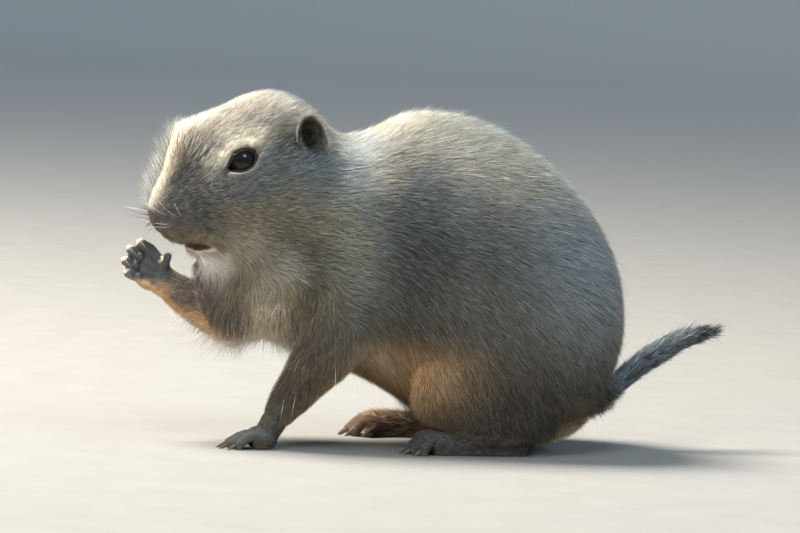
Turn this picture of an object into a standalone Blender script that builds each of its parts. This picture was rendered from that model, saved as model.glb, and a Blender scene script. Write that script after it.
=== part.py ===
"""A black-tailed prairie dog, life size, sitting on its haunches with one hand at its mouth.

It faces -X, its left side faces -Y, and it stands on the floor at z = 0. The left foreleg
props it up and the right one is raised. Sizes in the tables below are in millimetres, and
they take in the coat, so the solids have the outline of the furred animal. The tables count
height from a level FLOOR below the soles, and the last step lowers everything by that much.

The furred body is drawn first, as one smooth form, and is then parted into its named pieces
by thin cuts. Paws, ears, eyes, claws and the tail are drawn on their own and seated in it.
"""

import math
import random

import bmesh
import bpy
import numpy as np
from mathutils import Matrix, Vector

MM = 0.001
GAP = 0.3
FLOOR = 2.8
SOLE_SLACK = 0.12  # how near the floor a point of a sole is drawn down to it

# Each row of the trunk and head: back x, back z, belly x, belly z, half width, sag.
# A section spans from its point on the back line to its point on the belly line, and
# sag moves its widest part down, as in a heavy belly or a full cheek.
TRUNK = (
    (-50, 130, -84, 78, 23, 0.05),
    (-38, 126.5, -86, 66, 26, 0.08),
    (-27, 128, -82, 53, 30, 0.10),
    (-14, 134, -60, 43, 35, 0.12),
    (0, 136, -37, 35, 40, 0.14),
    (17, 133.5, -14, 24, 44.5, 0.16),
    (33.5, 126, 3, 14, 48, 0.16),
    (48, 115.5, 20, 6, 50, 0.14),
    (61.5, 101.5, 35, 4, 49, 0.12),
    (72, 84.5, 47, 5, 45, 0.10),
    (76.5, 68, 57, 8, 38.5, 0.06),
    (77.5, 53, 64, 14, 29, 0.0),
    (75.5, 40, 70, 20.5, 16, 0.0),
)
HEAD = (
    (-114.6, 94.0, -112.8, 88.2, 3.6, 0.0),
    (-113.6, 98.0, -109.6, 85.2, 6.8, 0.02),
    (-111.2, 104.0, -104.4, 82.2, 9.6, 0.06),
    (-108.6, 110.2, -99.0, 79.6, 11.8, 0.10),
    (-107.6, 117.6, -93.5, 78.0, 14.4, 0.12),
    (-104.2, 126.2, -87.0, 75.8, 18.2, 0.14),
    (-97.0, 131.4, -80.0, 73.0, 21.8, 0.15),
    (-88.2, 135.3, -73.0, 70.5, 24.6, 0.17),
    (-77.4, 140.3, -66.0, 68.3, 26.8, 0.19),
    (-67.0, 142.8, -59.0, 67.5, 27.6, 0.19),
    (-56.0, 140.2, -51.0, 68.0, 27.2, 0.17),
    (-46.0, 133.8, -44.0, 70.0, 25.5, 0.12),
)

# Each row of a limb: x, y, z, radius across, radius fore and aft.
LEFT_ARM = (
    (-36, -20, 84, 12, 19),
    (-39, -25, 66, 11.5, 18),
    (-44, -29.5, 47, 10.5, 14.5),
    (-53, -29, 33, 8.6, 10.4),
    (-60.5, -27, 22, 7.0, 7.6),
    (-65.5, -25.5, 13.5, 5.8, 5.4),
    (-68.5, -25, 8, 5.6, 5.0),
)
RIGHT_ARM = (
    (-42, 19, 80, 12, 15),
    (-56, 23, 63, 11, 13),
    (-72, 21, 51.5, 9.6, 10.4),
    (-82, 16.5, 52.8, 8.6, 9.2),
    (-92, 12, 57.4, 7.4, 8.0),
    (-103, 8, 63.8, 6.0, 6.6),
    (-108, 6.5, 66.8, 5.8, 6.6),
)
# The tail's last two columns are the reach of its locks, across and fore and aft.
TAIL = (
    (60, 0.5, 20, 8, 9),
    (68, 0.8, 22.5, 7, 8),
    (74.5, 1.4, 26.2, 5.9, 6.7),
    (81.4, 3, 32, 5.0, 5.6),
    (89.8, 5, 37.7, 4.6, 5.2),
    (98.2, 7, 42.8, 4.5, 5.1),
    (107, 10, 46.8, 4.3, 4.9),
    (115.6, 12.5, 48.9, 3.8, 4.4),
    (121, 14, 50.2, 2.8, 3.2),
)
# The share of that reach which the tail's core fills, from its root to its tip.
TAIL_CORE = (1.0, 1.0, 1.0, 0.92, 0.74, 0.66, 0.62, 0.58, 0.5)
TAIL_CUT = ((76.5, 1.8, 28.0), (0.80, 0.18, 0.57))

EYE_RADIUS = 6.2
EYE = (-79.8, 15.9, 114.6)
EYE_AXIS = (-0.26, 0.94, 0.20)
EYE_SLANT = -33
LID = 1.5

EAR = (-54.8, 22.8, 125.6)

BODY_TRIANGLES = 4300
LOCK_SEED, LOCK_RINGS, LOCKS_ROUND = 7, 7, 5

# Outlines of x, z points whose inside becomes the head, then the neck, then the chest.
HEAD_CUT = (
    (-140, 170), (-34, 170), (-42, 134), (-56, 84), (-66, 66.5), (-84, 72.5), (-100, 73), (-140, 78),
)
NECK_CUT = ((-140, 170), (-24, 170), (-29, 126), (-46, 82), (-60, 60), (-98, 62), (-140, 66))
CHEST_CUT = ((-140, 170), (4, 170), (-2, 136), (-24, 20), (-30, -20), (-140, -20))
FOREARM_CUT = ((-59, 58), (-27, 37), (-27, -10), (-110, -10), (-110, 40))

# The wrists: where each forepaw begins, and the way the limb points there.
LEFT_WRIST = ((-64.6, -25.7, 15.0), (-0.45, 0.08, -0.89))
RIGHT_WRIST = ((-102.0, 8.4, 63.2), (-0.83, -0.29, 0.47))


def spline(rows, steps):
    """Points on a Catmull-Rom curve through the rows, with `steps` of them to each span."""
    p = np.asarray(rows, float)
    q = np.vstack([2 * p[0] - p[1], p, 2 * p[-1] - p[-2]])
    t = np.linspace(0, 1, steps, endpoint=False)[:, None]
    spans = []
    for a, b, c, d in zip(q, q[1:], q[2:], q[3:]):
        bend = (2 * a - 5 * b + 4 * c - d) * t**2 + (3 * b - a - 3 * c + d) * t**3
        spans.append(0.5 * (2 * b + (c - a) * t + bend))
    return np.vstack([*spans, p[-1:]])


def linked(name, mesh):
    obj = bpy.data.objects.new(name, mesh)
    bpy.context.scene.collection.objects.link(obj)
    return obj


def from_build(name, build):
    mesh = bpy.data.meshes.new(name)
    build.to_mesh(mesh)
    build.free()
    return linked(name, mesh)


def body_of_rings(name, rings):
    """A closed body through the rings, an array of rings by points by three, in millimetres."""
    count, sides, _ = rings.shape
    middles = rings[[0, -1]].mean(axis=1)
    points = np.vstack([rings.reshape(-1, 3), middles]) * MM
    first, last = count * sides, count * sides + 1
    faces = []
    for i in range(sides):
        j = (i + 1) % sides
        faces.append((first, j, i))
        faces.append((last, (count - 1) * sides + i, (count - 1) * sides + j))
        for k in range(count - 1):
            faces.append((k * sides + i, k * sides + j, (k + 1) * sides + j, (k + 1) * sides + i))
    build = bmesh.new()
    verts = [build.verts.new(point) for point in points]
    for face in faces:
        build.faces.new([verts[i] for i in face])
    bmesh.ops.recalc_face_normals(build, faces=build.faces)
    bmesh.ops.triangulate(build, faces=build.faces)
    return from_build(name, build)


def barrel(name, stations, sides=40, steps=5, fullness=0.92):
    """The trunk or the head, from its stations of back point, belly point and half width."""
    rows = spline(stations, steps)
    angle = np.linspace(0, 2 * math.pi, sides, endpoint=False)
    up, side = np.cos(angle), np.sin(angle)
    rings = []
    for back_x, back_z, belly_x, belly_z, width, sag in rows:
        rise = np.sign(up) * np.abs(up) ** fullness
        across = np.sign(side) * np.abs(side) ** fullness * (1 - sag * up)
        x = (back_x + belly_x) / 2 + (back_x - belly_x) / 2 * rise
        z = (back_z + belly_z) / 2 + (back_z - belly_z) / 2 * rise
        rings.append(np.stack([x, width * across, z], axis=1))
    return body_of_rings(name, np.array(rings))


def frames(centre, side_axis):
    """The way along, the way across and the third way, at each point of a path."""
    along = np.gradient(centre, axis=0)
    along /= np.linalg.norm(along, axis=1)[:, None]
    side = np.asarray(side_axis, float)
    across = side - (along @ side)[:, None] * along
    across /= np.linalg.norm(across, axis=1)[:, None]
    return along, across, np.cross(along, across)


def limb(name, rows, sides=20, steps=5, side_axis=(0, 1, 0), grow=0.0):
    """A tapered tube with round ends along rows of x, y, z, radius across, radius fore and aft."""
    rows = spline(rows, steps)
    centre = rows[:, :3]
    radii = rows[:, 3:] + grow
    along, across, fore = frames(centre, side_axis)
    angle = np.linspace(0, 2 * math.pi, sides, endpoint=False)

    def ring(k, ahead, share):
        a, b = radii[k] * share
        spot = centre[k] + along[k] * ahead
        return spot + np.outer(np.cos(angle) * a, across[k]) + np.outer(np.sin(angle) * b, fore[k])

    lean = [math.radians(d) for d in (72, 48, 24)]
    start = [ring(0, -radii[0].min() * math.sin(d), math.cos(d)) for d in lean]
    end = [ring(-1, radii[-1].min() * math.sin(d), math.cos(d)) for d in reversed(lean)]
    middle = [ring(k, 0, 1) for k in range(len(rows))]
    return body_of_rings(name, np.array(start + middle + end))


def ellipsoid(name, centre, radii, turn=(0, 0, 0), segments=24, rings=12, grow=0.0):
    """An ellipsoid of these radii in millimetres, turned by degrees about X, Y and Z."""
    build = bmesh.new()
    bmesh.ops.create_uvsphere(build, u_segments=segments, v_segments=rings, radius=1)
    size = Matrix.Diagonal(Vector([(r + grow) * MM for r in radii])).to_4x4()
    spin = Matrix.Rotation(math.radians(turn[2]), 4, "Z")
    spin = spin @ Matrix.Rotation(math.radians(turn[1]), 4, "Y")
    spin = spin @ Matrix.Rotation(math.radians(turn[0]), 4, "X")
    place = Matrix.Translation(Vector(centre) * MM) @ spin @ size
    bmesh.ops.transform(build, matrix=place, verts=build.verts)
    return from_build(name, build)


def block(name, start, ahead, half, length, grow=0.0):
    """A block whose near face stands across `ahead` at `start`, with half sides `half`."""
    build = bmesh.new()
    bmesh.ops.create_cube(build, size=1)
    ahead = Vector(ahead).normalized()
    turn = ahead.to_track_quat("Z", "Y").to_matrix().to_4x4()
    middle = Vector(start) + ahead * (length / 2 - grow)
    side = 2 * (half + grow)
    size = Matrix.Diagonal(Vector((side * MM, side * MM, length * MM))).to_4x4()
    bmesh.ops.transform(build, matrix=Matrix.Translation(middle * MM) @ turn @ size, verts=build.verts)
    return from_build(name, build)


def prism(name, outline, low_y, high_y, grow=0.0):
    """An outline of x, z points, given clockwise as -Y sees it, drawn out from low_y to high_y."""
    p = np.asarray(outline, float)
    before, after = p - np.roll(p, 1, axis=0), np.roll(p, -1, axis=0) - p
    normals = []
    for run in (before, after):
        run = run / np.linalg.norm(run, axis=1)[:, None]
        normals.append(np.stack([-run[:, 1], run[:, 0]], axis=1))
    corner = normals[0] + normals[1]
    corner /= (1 + (normals[0] * normals[1]).sum(axis=1))[:, None]
    p = p + corner * grow
    build = bmesh.new()
    near = [build.verts.new((x * MM, (low_y - grow) * MM, z * MM)) for x, z in p]
    far = [build.verts.new((x * MM, (high_y + grow) * MM, z * MM)) for x, z in p]
    build.faces.new(near)
    build.faces.new(far[::-1])
    for i in range(len(p)):
        j = (i + 1) % len(p)
        build.faces.new((near[j], near[i], far[i], far[j]))
    bmesh.ops.recalc_face_normals(build, faces=build.faces)
    bmesh.ops.triangulate(build, faces=build.faces)
    return from_build(name, build)


def applied(obj):
    """The object with its modifiers baked into its mesh."""
    graph = bpy.context.evaluated_depsgraph_get()
    mesh = bpy.data.meshes.new_from_object(obj.evaluated_get(graph))
    obj.modifiers.clear()
    obj.data = mesh
    return obj


def remove(*objects):
    for obj in objects:
        bpy.data.objects.remove(obj)


def joined(name, pieces):
    """One object holding the meshes of all the pieces, which are removed."""
    build = bmesh.new()
    for piece in pieces:
        build.from_mesh(piece.data)
    remove(*pieces)
    return from_build(name, build)


def points_of(obj):
    points = np.empty(len(obj.data.vertices) * 3)
    obj.data.vertices.foreach_get("co", points)
    return points.reshape(-1, 3) / MM


def fused(name, pieces, voxel, rounds, spots=(), least=0.2):
    """The pieces' overlapping shells as one skin, remade at this voxel size and relaxed.

    Each spot of x, y, z and radius is relaxed in full, and the rest by the least share.
    """
    obj = joined(name, pieces)
    remesh = obj.modifiers.new("remesh", "REMESH")
    remesh.mode = "VOXEL"
    remesh.voxel_size = voxel * MM
    applied(obj)
    points = points_of(obj)
    share = np.full(len(points), least if spots else 1.0)
    for x, y, z, radius in spots:
        near = 1 - np.linalg.norm(points - (x, y, z), axis=1) / radius
        share = np.maximum(share, np.clip(near * 2, 0, 1))
    ends = np.empty(len(obj.data.edges) * 2, np.int32)
    obj.data.edges.foreach_get("vertices", ends)
    ends = ends.reshape(-1, 2)
    here = np.concatenate([ends[:, 0], ends[:, 1]])
    there = np.concatenate([ends[:, 1], ends[:, 0]])
    links = np.bincount(here, minlength=len(points))[:, None]
    for _ in range(rounds):
        total = [np.bincount(here, points[there, axis], len(points)) for axis in range(3)]
        points = points + 0.5 * share[:, None] * (np.stack(total, axis=1) / links - points)
    obj.data.vertices.foreach_set("co", (points * MM).ravel())
    obj.data.update()
    return obj


def boolean(obj, operation, tool, solver="MANIFOLD"):
    """Cuts or joins by a tool, which is removed, and keeps the largest closed surface."""
    change = obj.modifiers.new(operation, "BOOLEAN")
    change.operation = operation
    change.solver = solver
    change.object = tool
    applied(obj)
    remove(tool)
    return largest_shell(obj)


def largest_shell(obj):
    """Drops every loose scrap and inner bubble, and leaves the largest closed surface."""
    build = bmesh.new()
    build.from_mesh(obj.data)
    left = set(build.verts)
    shells = []
    while left:
        shell = {left.pop()}
        edge = list(shell)
        while edge:
            vert = edge.pop()
            for link in vert.link_edges:
                other = link.other_vert(vert)
                if other in left:
                    left.remove(other)
                    shell.add(other)
                    edge.append(other)
        shells.append(shell)
    shells.sort(key=len)
    scraps = [v for shell in shells[:-1] for v in shell]
    bmesh.ops.delete(build, geom=scraps, context="VERTS")
    build.to_mesh(obj.data)
    build.free()
    return obj


def part_off(whole, name, tool):
    """Takes the piece inside the tool off the whole, with the usual gap left round it."""
    piece = linked(name, whole.data.copy())
    boolean(piece, "INTERSECT", tool(0.0))
    boolean(whole, "DIFFERENCE", tool(GAP))
    return piece


def is_closed(mesh):
    build = bmesh.new()
    build.from_mesh(mesh)
    sound = all(edge.is_manifold for edge in build.edges) and all(v.is_manifold for v in build.verts)
    build.free()
    return sound


def without_slivers(mesh, within=0.02, flat=0.0):
    """A copy with points this close made one, or the mesh itself where that would open it.

    Faces that meet at less than `flat` degrees are made one before they are cut in three again.
    """
    build = bmesh.new()
    build.from_mesh(mesh)
    bmesh.ops.remove_doubles(build, verts=build.verts, dist=within * MM)
    bmesh.ops.dissolve_degenerate(build, edges=build.edges, dist=within * MM)
    if flat:
        bmesh.ops.dissolve_limit(
            build, angle_limit=math.radians(flat), verts=build.verts, edges=build.edges)
    bmesh.ops.triangulate(build, faces=build.faces)
    clean = bpy.data.meshes.new(mesh.name)
    build.to_mesh(clean)
    build.free()
    return clean if is_closed(clean) else mesh


def thinned(obj, triangles, keep=()):
    """Thins the mesh to about this many triangles, and spares the spots of x, y, z, radius.

    A share that would tear the surface is passed over for one a little larger.
    """
    if keep:
        thinned(obj, int(triangles * 1.7))
    whole = obj.data
    for attempt in range(12):
        obj.data = without_slivers(whole, 0.02 * (1 + attempt)).copy()
        now = sum(len(p.vertices) - 2 for p in obj.data.polygons)
        wanted = triangles + 8 * attempt
        if now <= wanted:
            break
        thin = obj.modifiers.new("thin", "DECIMATE")
        if keep:
            points = points_of(obj)
            inside = np.zeros(len(points), bool)
            for x, y, z, radius in keep:
                inside |= np.linalg.norm(points - (x, y, z), axis=1) < radius
            group = obj.vertex_groups.new(name="face")
            group.add(np.flatnonzero(inside).tolist(), 1.0, "REPLACE")
            thin.vertex_group = "face"
            thin.invert_vertex_group = True
            thin.vertex_group_factor = 1.2
        thin.ratio = wanted / now
        applied(obj)
        obj.vertex_groups.clear()
        if is_closed(obj.data):
            break
    return obj


def mirrored(row, side):
    """A point or direction given for the right side, on the side asked for."""
    return (row[0], row[1] * side, *row[2:])


def flesh():
    """The furred body as one form: trunk, head, limbs to the wrists, and the tail's root."""
    forms = [
        barrel("trunk_form", TRUNK),
        barrel("head_form", HEAD),
        limb("left_arm_form", LEFT_ARM),
        limb("right_arm_form", RIGHT_ARM),
        limb("tail_root_form", TAIL[:6]),
        ellipsoid("breast_form", (-76, 1, 60), (16.5, 20, 17)),
        ellipsoid("throat_form", (-84, 1, 71.5), (10.5, 12, 9)),
        ellipsoid("chin_form", (-93.5, 0, 78.2), (7.0, 6.4, 3.6), (0, 6, 0)),
    ]
    for side in (-1, 1):
        knee = 0 if side < 0 else 8
        forms += [
            ellipsoid("thigh_form", (26, 32 * side, 40), (31, 18.5, 35), (0, 20, 0)),
            ellipsoid("knee_form", (knee, 35 * side, 27), (14, 11, 15)),
            ellipsoid("haunch_form", (22 + knee, 33 * side, 20), (29, 14.5, 15.6)),
            ellipsoid("shoulder_form", (-33, 22 * side, 86), (20, 13, 27), (0, -20, 0)),
            ellipsoid("cheek_form", (-70, 17 * side, 93), (17, 10, 16)),
            ellipsoid("whisker_pad_form", (-102.5, 6.0 * side, 88), (7.5, 5.8, 6.3)),
            ellipsoid("brow_form", (-78, 14.2 * side, 122.8), (9, 6.0, 4.2), (0, -30, 0)),
            ellipsoid("eye_mound_form", mirrored(EYE, side), [EYE_RADIUS + LID] * 3),
        ]
    spots = [(-46, 0, 130, 40), (-76, 0, 62, 26), (-62, 12, 54, 22)]
    for side in (-1, 1):
        spots += [
            (-50, 26 * side, 98, 40),
            (-34, 30 * side, 84, 40),
            (-38, 28 * side, 60, 20),
            (-6, 38 * side, 38, 40),
            (26, 46 * side, 44, 44),
            (-70, 26 * side, 92, 26),
        ]
    return fused("flesh", forms, 1.1, 60, spots, 0.12)


def digit(name, base, tip, knuckle, thick, side_axis=(0, 1, 0)):
    """A toe from base to tip, raised at its knuckle, with these radii at base, knuckle and tip."""
    a, c = np.array(base, float), np.array(tip, float)
    b = (a + c) / 2 + np.array(knuckle, float)
    rows = [(*p, r, r) for p, r in zip((a, b, c), thick)]
    return limb(name, rows, sides=12, steps=4, side_axis=side_axis)


def claw_body(name, root, ahead, droop, length, radius, side_axis, grow=0.0):
    """A bent cone from its root, running ahead and bending by `droop` of its length."""
    ahead, droop = Vector(ahead).normalized(), Vector(droop).normalized()
    share = np.array([0.0, 0.3, 0.55, 0.8, 1.0])
    centre = []
    for s in share:
        spot = Vector(root) + ahead * (length * (s - 0.18 * s * s)) + droop * (length * 0.42 * s * s)
        centre.append(spot)
    centre = np.array([tuple(p) for p in centre])
    if grow:
        centre[0] -= np.array(ahead) * grow
    along, across, fore = frames(centre, side_axis)
    angle = np.linspace(0, 2 * math.pi, 7, endpoint=False)
    rings = []
    for k, s in enumerate(share):
        r = radius * (1 - s) ** 0.75 * (1 if s < 0.99 else 0) + 0.16 + grow
        side, up = np.cos(angle) * r * 0.82, np.sin(angle) * r * 1.1
        rings.append(centre[k] + np.outer(side, across[k]) + np.outer(up, fore[k]))
    return body_of_rings(name, np.array(rings))


def lock(name, root, ahead, rise, length, width, thick):
    """A flat tapered lock of hair from its root, running ahead and rising off what it lies on."""
    ahead, rise = Vector(ahead).normalized(), Vector(rise).normalized()
    across = ahead.cross(rise).normalized()
    rings = []
    for share, wide, deep, lift in (
        (0.0, 0.70, 1.0, 0.0), (0.32, 1.0, 1.0, 0.60), (0.68, 0.66, 0.75, 0.92), (1.0, 0.12, 0.3, 1.0),
    ):
        spot = Vector(root) + ahead * (length * share) + rise * (length * 0.15 * lift)
        side, up = across * (width * wide / 2), rise * (thick * deep / 2)
        rings.append([tuple(spot + way) for way in (side, up, -side, -up)])
    return body_of_rings(name, np.array(rings))


def tail_with_locks():
    """The tail: a core, and rings of overlapping locks that lie along it and end in a point."""
    core = [(x, y, z, a * share, b * share) for (x, y, z, a, b), share in zip(TAIL, TAIL_CORE)]
    start, ahead = TAIL_CUT
    tail = fused("tail", [limb("tail_form", core)], 0.7, 2)
    boolean(tail, "INTERSECT", block("keep", start, ahead, 60, 160, -GAP / 2))
    thinned(tail, 240)
    path = spline(TAIL, 8)
    along, across, fore = frames(path[:, :3], (0, 1, 0))
    draw = random.Random(LOCK_SEED)
    locks = bpy.data.collections.new("locks")
    bpy.context.scene.collection.children.link(locks)
    share = spline([(s, 0, 0, 0, 0) for s in TAIL_CORE], 8)[:, 0]
    for ring in range(LOCK_RINGS):
        k = int(25 + (len(path) - 1 - 25) * ring / (LOCK_RINGS - 1))
        for step in range(LOCKS_ROUND):
            turn = 2 * math.pi * (step + 0.5 * (ring % 2) + draw.uniform(-0.15, 0.15)) / LOCKS_ROUND
            a, b = path[k, 3:] * share[k]
            out = across[k] * math.cos(turn) * a + fore[k] * math.sin(turn) * b
            rise = Vector(out).normalized()
            way = Vector(along[k]) + rise * draw.uniform(-0.04, 0.06)
            length = draw.uniform(11, 14) if ring < LOCK_RINGS - 1 else draw.uniform(6, 10)
            root = Vector(path[k, :3]) + Vector(out) * 0.72
            piece = lock("lock", root, way, rise, length, draw.uniform(3.8, 4.6), 1.3)
            bpy.context.scene.collection.objects.unlink(piece)
            locks.objects.link(piece)
    change = tail.modifiers.new("locks", "BOOLEAN")
    change.operation = "UNION"
    change.solver = "MANIFOLD"
    change.operand_type = "COLLECTION"
    change.collection = locks
    applied(tail)
    remove(*locks.objects)
    bpy.data.collections.remove(locks)
    return thinned(largest_shell(tail), 1700)


class Paw:
    """Forms of a paw with its claws: add the forms and toes, then finish it in one go."""

    def __init__(self, name, claw_name, wrist, floor, voxel=0.55):
        self.name, self.claw_name, self.wrist = name, claw_name, wrist
        self.floor, self.voxel = floor, voxel
        self.forms, self.claws = [], []

    def toe(self, base, tip, knuckle, thick, claw, droop, ahead=None, side_axis=(0, 1, 0)):
        self.forms.append(digit("toe_form", base, tip, knuckle, thick, side_axis))
        way = Vector(ahead) if ahead else Vector(tip) - Vector(base)
        way.normalize()
        root = Vector(tip) + way * (thick[2] - 2.0)
        self.claws.append((root, way, droop, claw, thick[2] * 0.5, side_axis))

    def finish(self, triangles):
        paw = fused(self.name, self.forms, self.voxel, 3)
        if self.wrist:
            start, ahead = self.wrist
            paw = boolean(paw, "INTERSECT", block("keep", start, ahead, 60, 120, -GAP / 2))
        if self.floor:
            boolean(paw, "INTERSECT", block("floor", (0, 0, FLOOR), (0, 0, 1), 400, 200))
        thinned(paw, triangles)
        for number, row in enumerate(self.claws, 1):
            root, way, droop, length, radius, side_axis = row
            claw = claw_body(f"{self.claw_name}_{number}", root, way, droop, length, radius, side_axis)
            if self.floor:
                boolean(claw, "INTERSECT", block("floor", (0, 0, FLOOR), (0, 0, 1), 400, 200))
            boolean(paw, "DIFFERENCE", claw_body("seat", root, way, droop, length, radius, side_axis, GAP))
        return paw


def left_forepaw():
    paw = Paw("left_forepaw", "left_fore_claw", LEFT_WRIST, True)
    paw.forms.append(limb("wrist_form", LEFT_ARM[4:]))
    paw.forms.append(ellipsoid("palm_form", (-70, -25, FLOOR + 4.4), (6.5, 6.6, 5.0)))
    down = (-0.2, 0, -1)
    thumb = (-68, -20.5, FLOOR + 4.0), (-72.5, -17.2, FLOOR + 2.2)
    paw.toe(*thumb, (0, 0, 0.6), (2.5, 2.3, 2.0), 4.5, down)
    for yaw, y, reach in ((10, -22.2, 9.5), (2, -24.6, 10.8), (-6, -27.0, 10.4), (-17, -29.2, 8.6)):
        turn = math.radians(yaw)
        tip = (-72 - reach * math.cos(turn), y + reach * math.sin(turn), FLOOR + 2.3)
        paw.toe((-71, y, FLOOR + 4.6), tip, (0, 0, 1.6), (2.9, 2.7, 2.2), 7.4, down)
    return paw.finish(440)


def right_forepaw():
    """The raised hand: palm toward -Y, fingers fanned and half curled over it."""
    paw = Paw("right_forepaw", "right_fore_claw", RIGHT_WRIST, False)
    paw.forms.append(limb("wrist_form", RIGHT_ARM[4:]))
    paw.forms.append(ellipsoid("palm_form", (-111, 5.6, 69), (8.2, 4.8, 8.2), (0, 30, 0)))
    rows = (
        ((-109.5, 5.5, 73.5), (-116.5, 1.6, 79.6), 11.0),
        ((-112.5, 5.5, 71.6), (-121.3, 0.8, 77.6), 12.0),
        ((-114.0, 5.5, 68.5), (-123.2, 0.2, 71.8), 12.0),
        ((-113.2, 5.6, 65.0), (-120.6, 0.4, 65.2), 10.0),
    )
    across = (0.45, 0, -0.9)
    paw.toe((-106, 4.5, 71.5), (-105.4, 0.2, 75.6), (0, 0, 0.4), (2.4, 2.2, 1.9), 3.0,
            (0.2, -1, -0.2), side_axis=(1, 0, 0.2))
    for base, tip, _ in rows:
        way = (Vector(tip) - Vector(base)).normalized()
        paw.toe(base, tip, (0.2, 2.2, 0.4), (3.0, 2.8, 2.5), 7.0, (0.5, -0.9, -0.3),
                ahead=way + Vector((0.15, -0.75, -0.1)), side_axis=across)
    return paw.finish(540)


def hind_foot(name, claw_name, side, heel_x, toe_x, claws):
    paw = Paw(name, claw_name, None, True)
    span = heel_x - toe_x
    y = 34 * side
    rows = (
        (heel_x, y - 0.5 * side, FLOOR + 4.6, 5.0, 5.2),
        (heel_x - span * 0.3, y, FLOOR + 4.4, 5.4, 5.2),
        (heel_x - span * 0.55, y + 0.4 * side, FLOOR + 5.0, 6.4, 6.2),
        (heel_x - span * 0.76, y + 0.8 * side, FLOOR + 5.2, 7.6, 6.4),
    )
    paw.forms.append(limb("sole_form", rows))
    start = heel_x - span * 0.76
    down = (-0.2, 0, -1)
    # The first toe is the inner one, short and set back.
    inner = (start + 1, y - 5.2 * side, FLOOR + 4.4), (toe_x + 6.5, y - 8.6 * side, FLOOR + 2.4)
    paw.toe(*inner, (0, 0, 1.2), (2.8, 2.6, 2.2), claws * 0.8, down)
    for offset, fan, back in ((-3.6, -0.12, 1.6), (-0.8, -0.03, 0), (2.2, 0.07, 0.6), (5.0, 0.22, 3.4)):
        tip = (toe_x + back, y + (offset + 10 * fan) * side, FLOOR + 2.7)
        paw.toe((start, y + offset * side, FLOOR + 5.6), tip, (0, 0, 2.8), (3.3, 3.2, 2.6), claws, down)
    return paw.finish(440)


def grown_copy(obj, amount):
    """A copy with its surface moved outward by the amount, for cutting a seat."""
    copy = linked("grown", obj.data.copy())
    normals = np.empty(len(copy.data.vertices) * 3)
    copy.data.vertices.foreach_get("normal", normals)
    points = points_of(copy) + normals.reshape(-1, 3) * amount
    copy.data.vertices.foreach_set("co", (points * MM).ravel())
    copy.data.update()
    return copy


def cut_face(head):
    """Eye sockets with lids, nostrils, the lips with the line of the mouth, and the ear seats."""
    for side in (-1, 1):
        eye, axis = Vector(mirrored(EYE, side)), Vector(mirrored(EYE_AXIS, side)).normalized()
        boolean(head, "DIFFERENCE", almond(eye, axis, side))
        boolean(head, "DIFFERENCE", eyeball("socket", side, GAP))
        boolean(head, "DIFFERENCE", ear_form("ear_seat", side, GAP))
        nostril = (-111.6, 3.3 * side, 87.9), (2.6, 1.15, 1.5), (0, 30, -35 * side), 12, 8
        boolean(head, "DIFFERENCE", ellipsoid("nostril", *nostril))
    mouth = (-97.6, 0, 81.2), (7.4, 30, 1.4), (0, -3, 0), 20, 8
    boolean(head, "DIFFERENCE", ellipsoid("mouth", *mouth))
    tongue = (-92.4, 0, 80.8), (8.4, 6.8, 3.2), (0, 0, 0), 16, 8
    boolean(head, "UNION", ellipsoid("tongue", *tongue))
    philtrum = (-110.2, 0, 84.6), (4.4, 0.55, 2.4), (0, 35, 0), 12, 6
    boolean(head, "DIFFERENCE", ellipsoid("philtrum", *philtrum))


def eyeball(name, side, grow=0.0):
    return ellipsoid(name, mirrored(EYE, side), [EYE_RADIUS] * 3, (0, 0, 0), 16, 8, grow)


def almond(eye, axis, side):
    """The opening between the lids: a spindle drawn out along the eye's axis."""
    length, height = 6.9, 4.7
    radius = (length**2 + height**2) / (2 * height)
    sweep = math.asin(length / radius)
    turn = np.linspace(-sweep, sweep, 9)
    upper = [(radius * math.sin(t), radius * math.cos(t) - radius + height) for t in turn]
    outline = upper + [(x, -z) for x, z in upper[-2:0:-1]]
    build = bmesh.new()
    slant = math.radians(EYE_SLANT)
    up = Vector((0, 0, 1))
    along = up.cross(axis).normalized() * side
    up = axis.cross(along).normalized() * side
    rings = []
    for reach in (1.5, 12.0):
        ring = []
        for a, b in outline:
            a, b = a * math.cos(slant) - b * math.sin(slant), a * math.sin(slant) + b * math.cos(slant)
            ring.append(build.verts.new((eye + axis * reach + along * a + up * b) * MM))
        rings.append(ring)
    build.faces.new(rings[0])
    build.faces.new(rings[1][::-1])
    for i in range(len(outline)):
        j = (i + 1) % len(outline)
        build.faces.new((rings[0][j], rings[0][i], rings[1][i], rings[1][j]))
    bmesh.ops.recalc_face_normals(build, faces=build.faces)
    bmesh.ops.triangulate(build, faces=build.faces)
    return from_build("almond", build)


def ear_form(name, side, grow=0.0):
    """The ear's outside: a low rounded flap that leans back along the skull."""
    turn = (-18 * side, -16, 8 * side)
    return ellipsoid(name, mirrored(EAR, side), (5.4, 4.2, 9.4), turn, 14, 9, grow)


def ear(name, side):
    flap = ear_form(name, side)
    bowl = (EAR[0] - 1.2, (EAR[1] + 2.2) * side, EAR[2] - 0.4)
    bowl = ellipsoid("bowl", bowl, (3.5, 3.6, 7.2), (-18 * side, -16, 8 * side), 10, 7)
    return boolean(flap, "DIFFERENCE", bowl)


def dressed(obj, colour, roughness=0.85):
    """Gives the object a Principled material of its own."""
    material = bpy.data.materials.new(obj.name)
    material.use_nodes = True
    shader = material.node_tree.nodes["Principled BSDF"]
    shader.inputs["Base Color"].default_value = (*colour, 1)
    shader.inputs["Roughness"].default_value = roughness
    obj.data.materials.clear()
    obj.data.materials.append(material)


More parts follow.
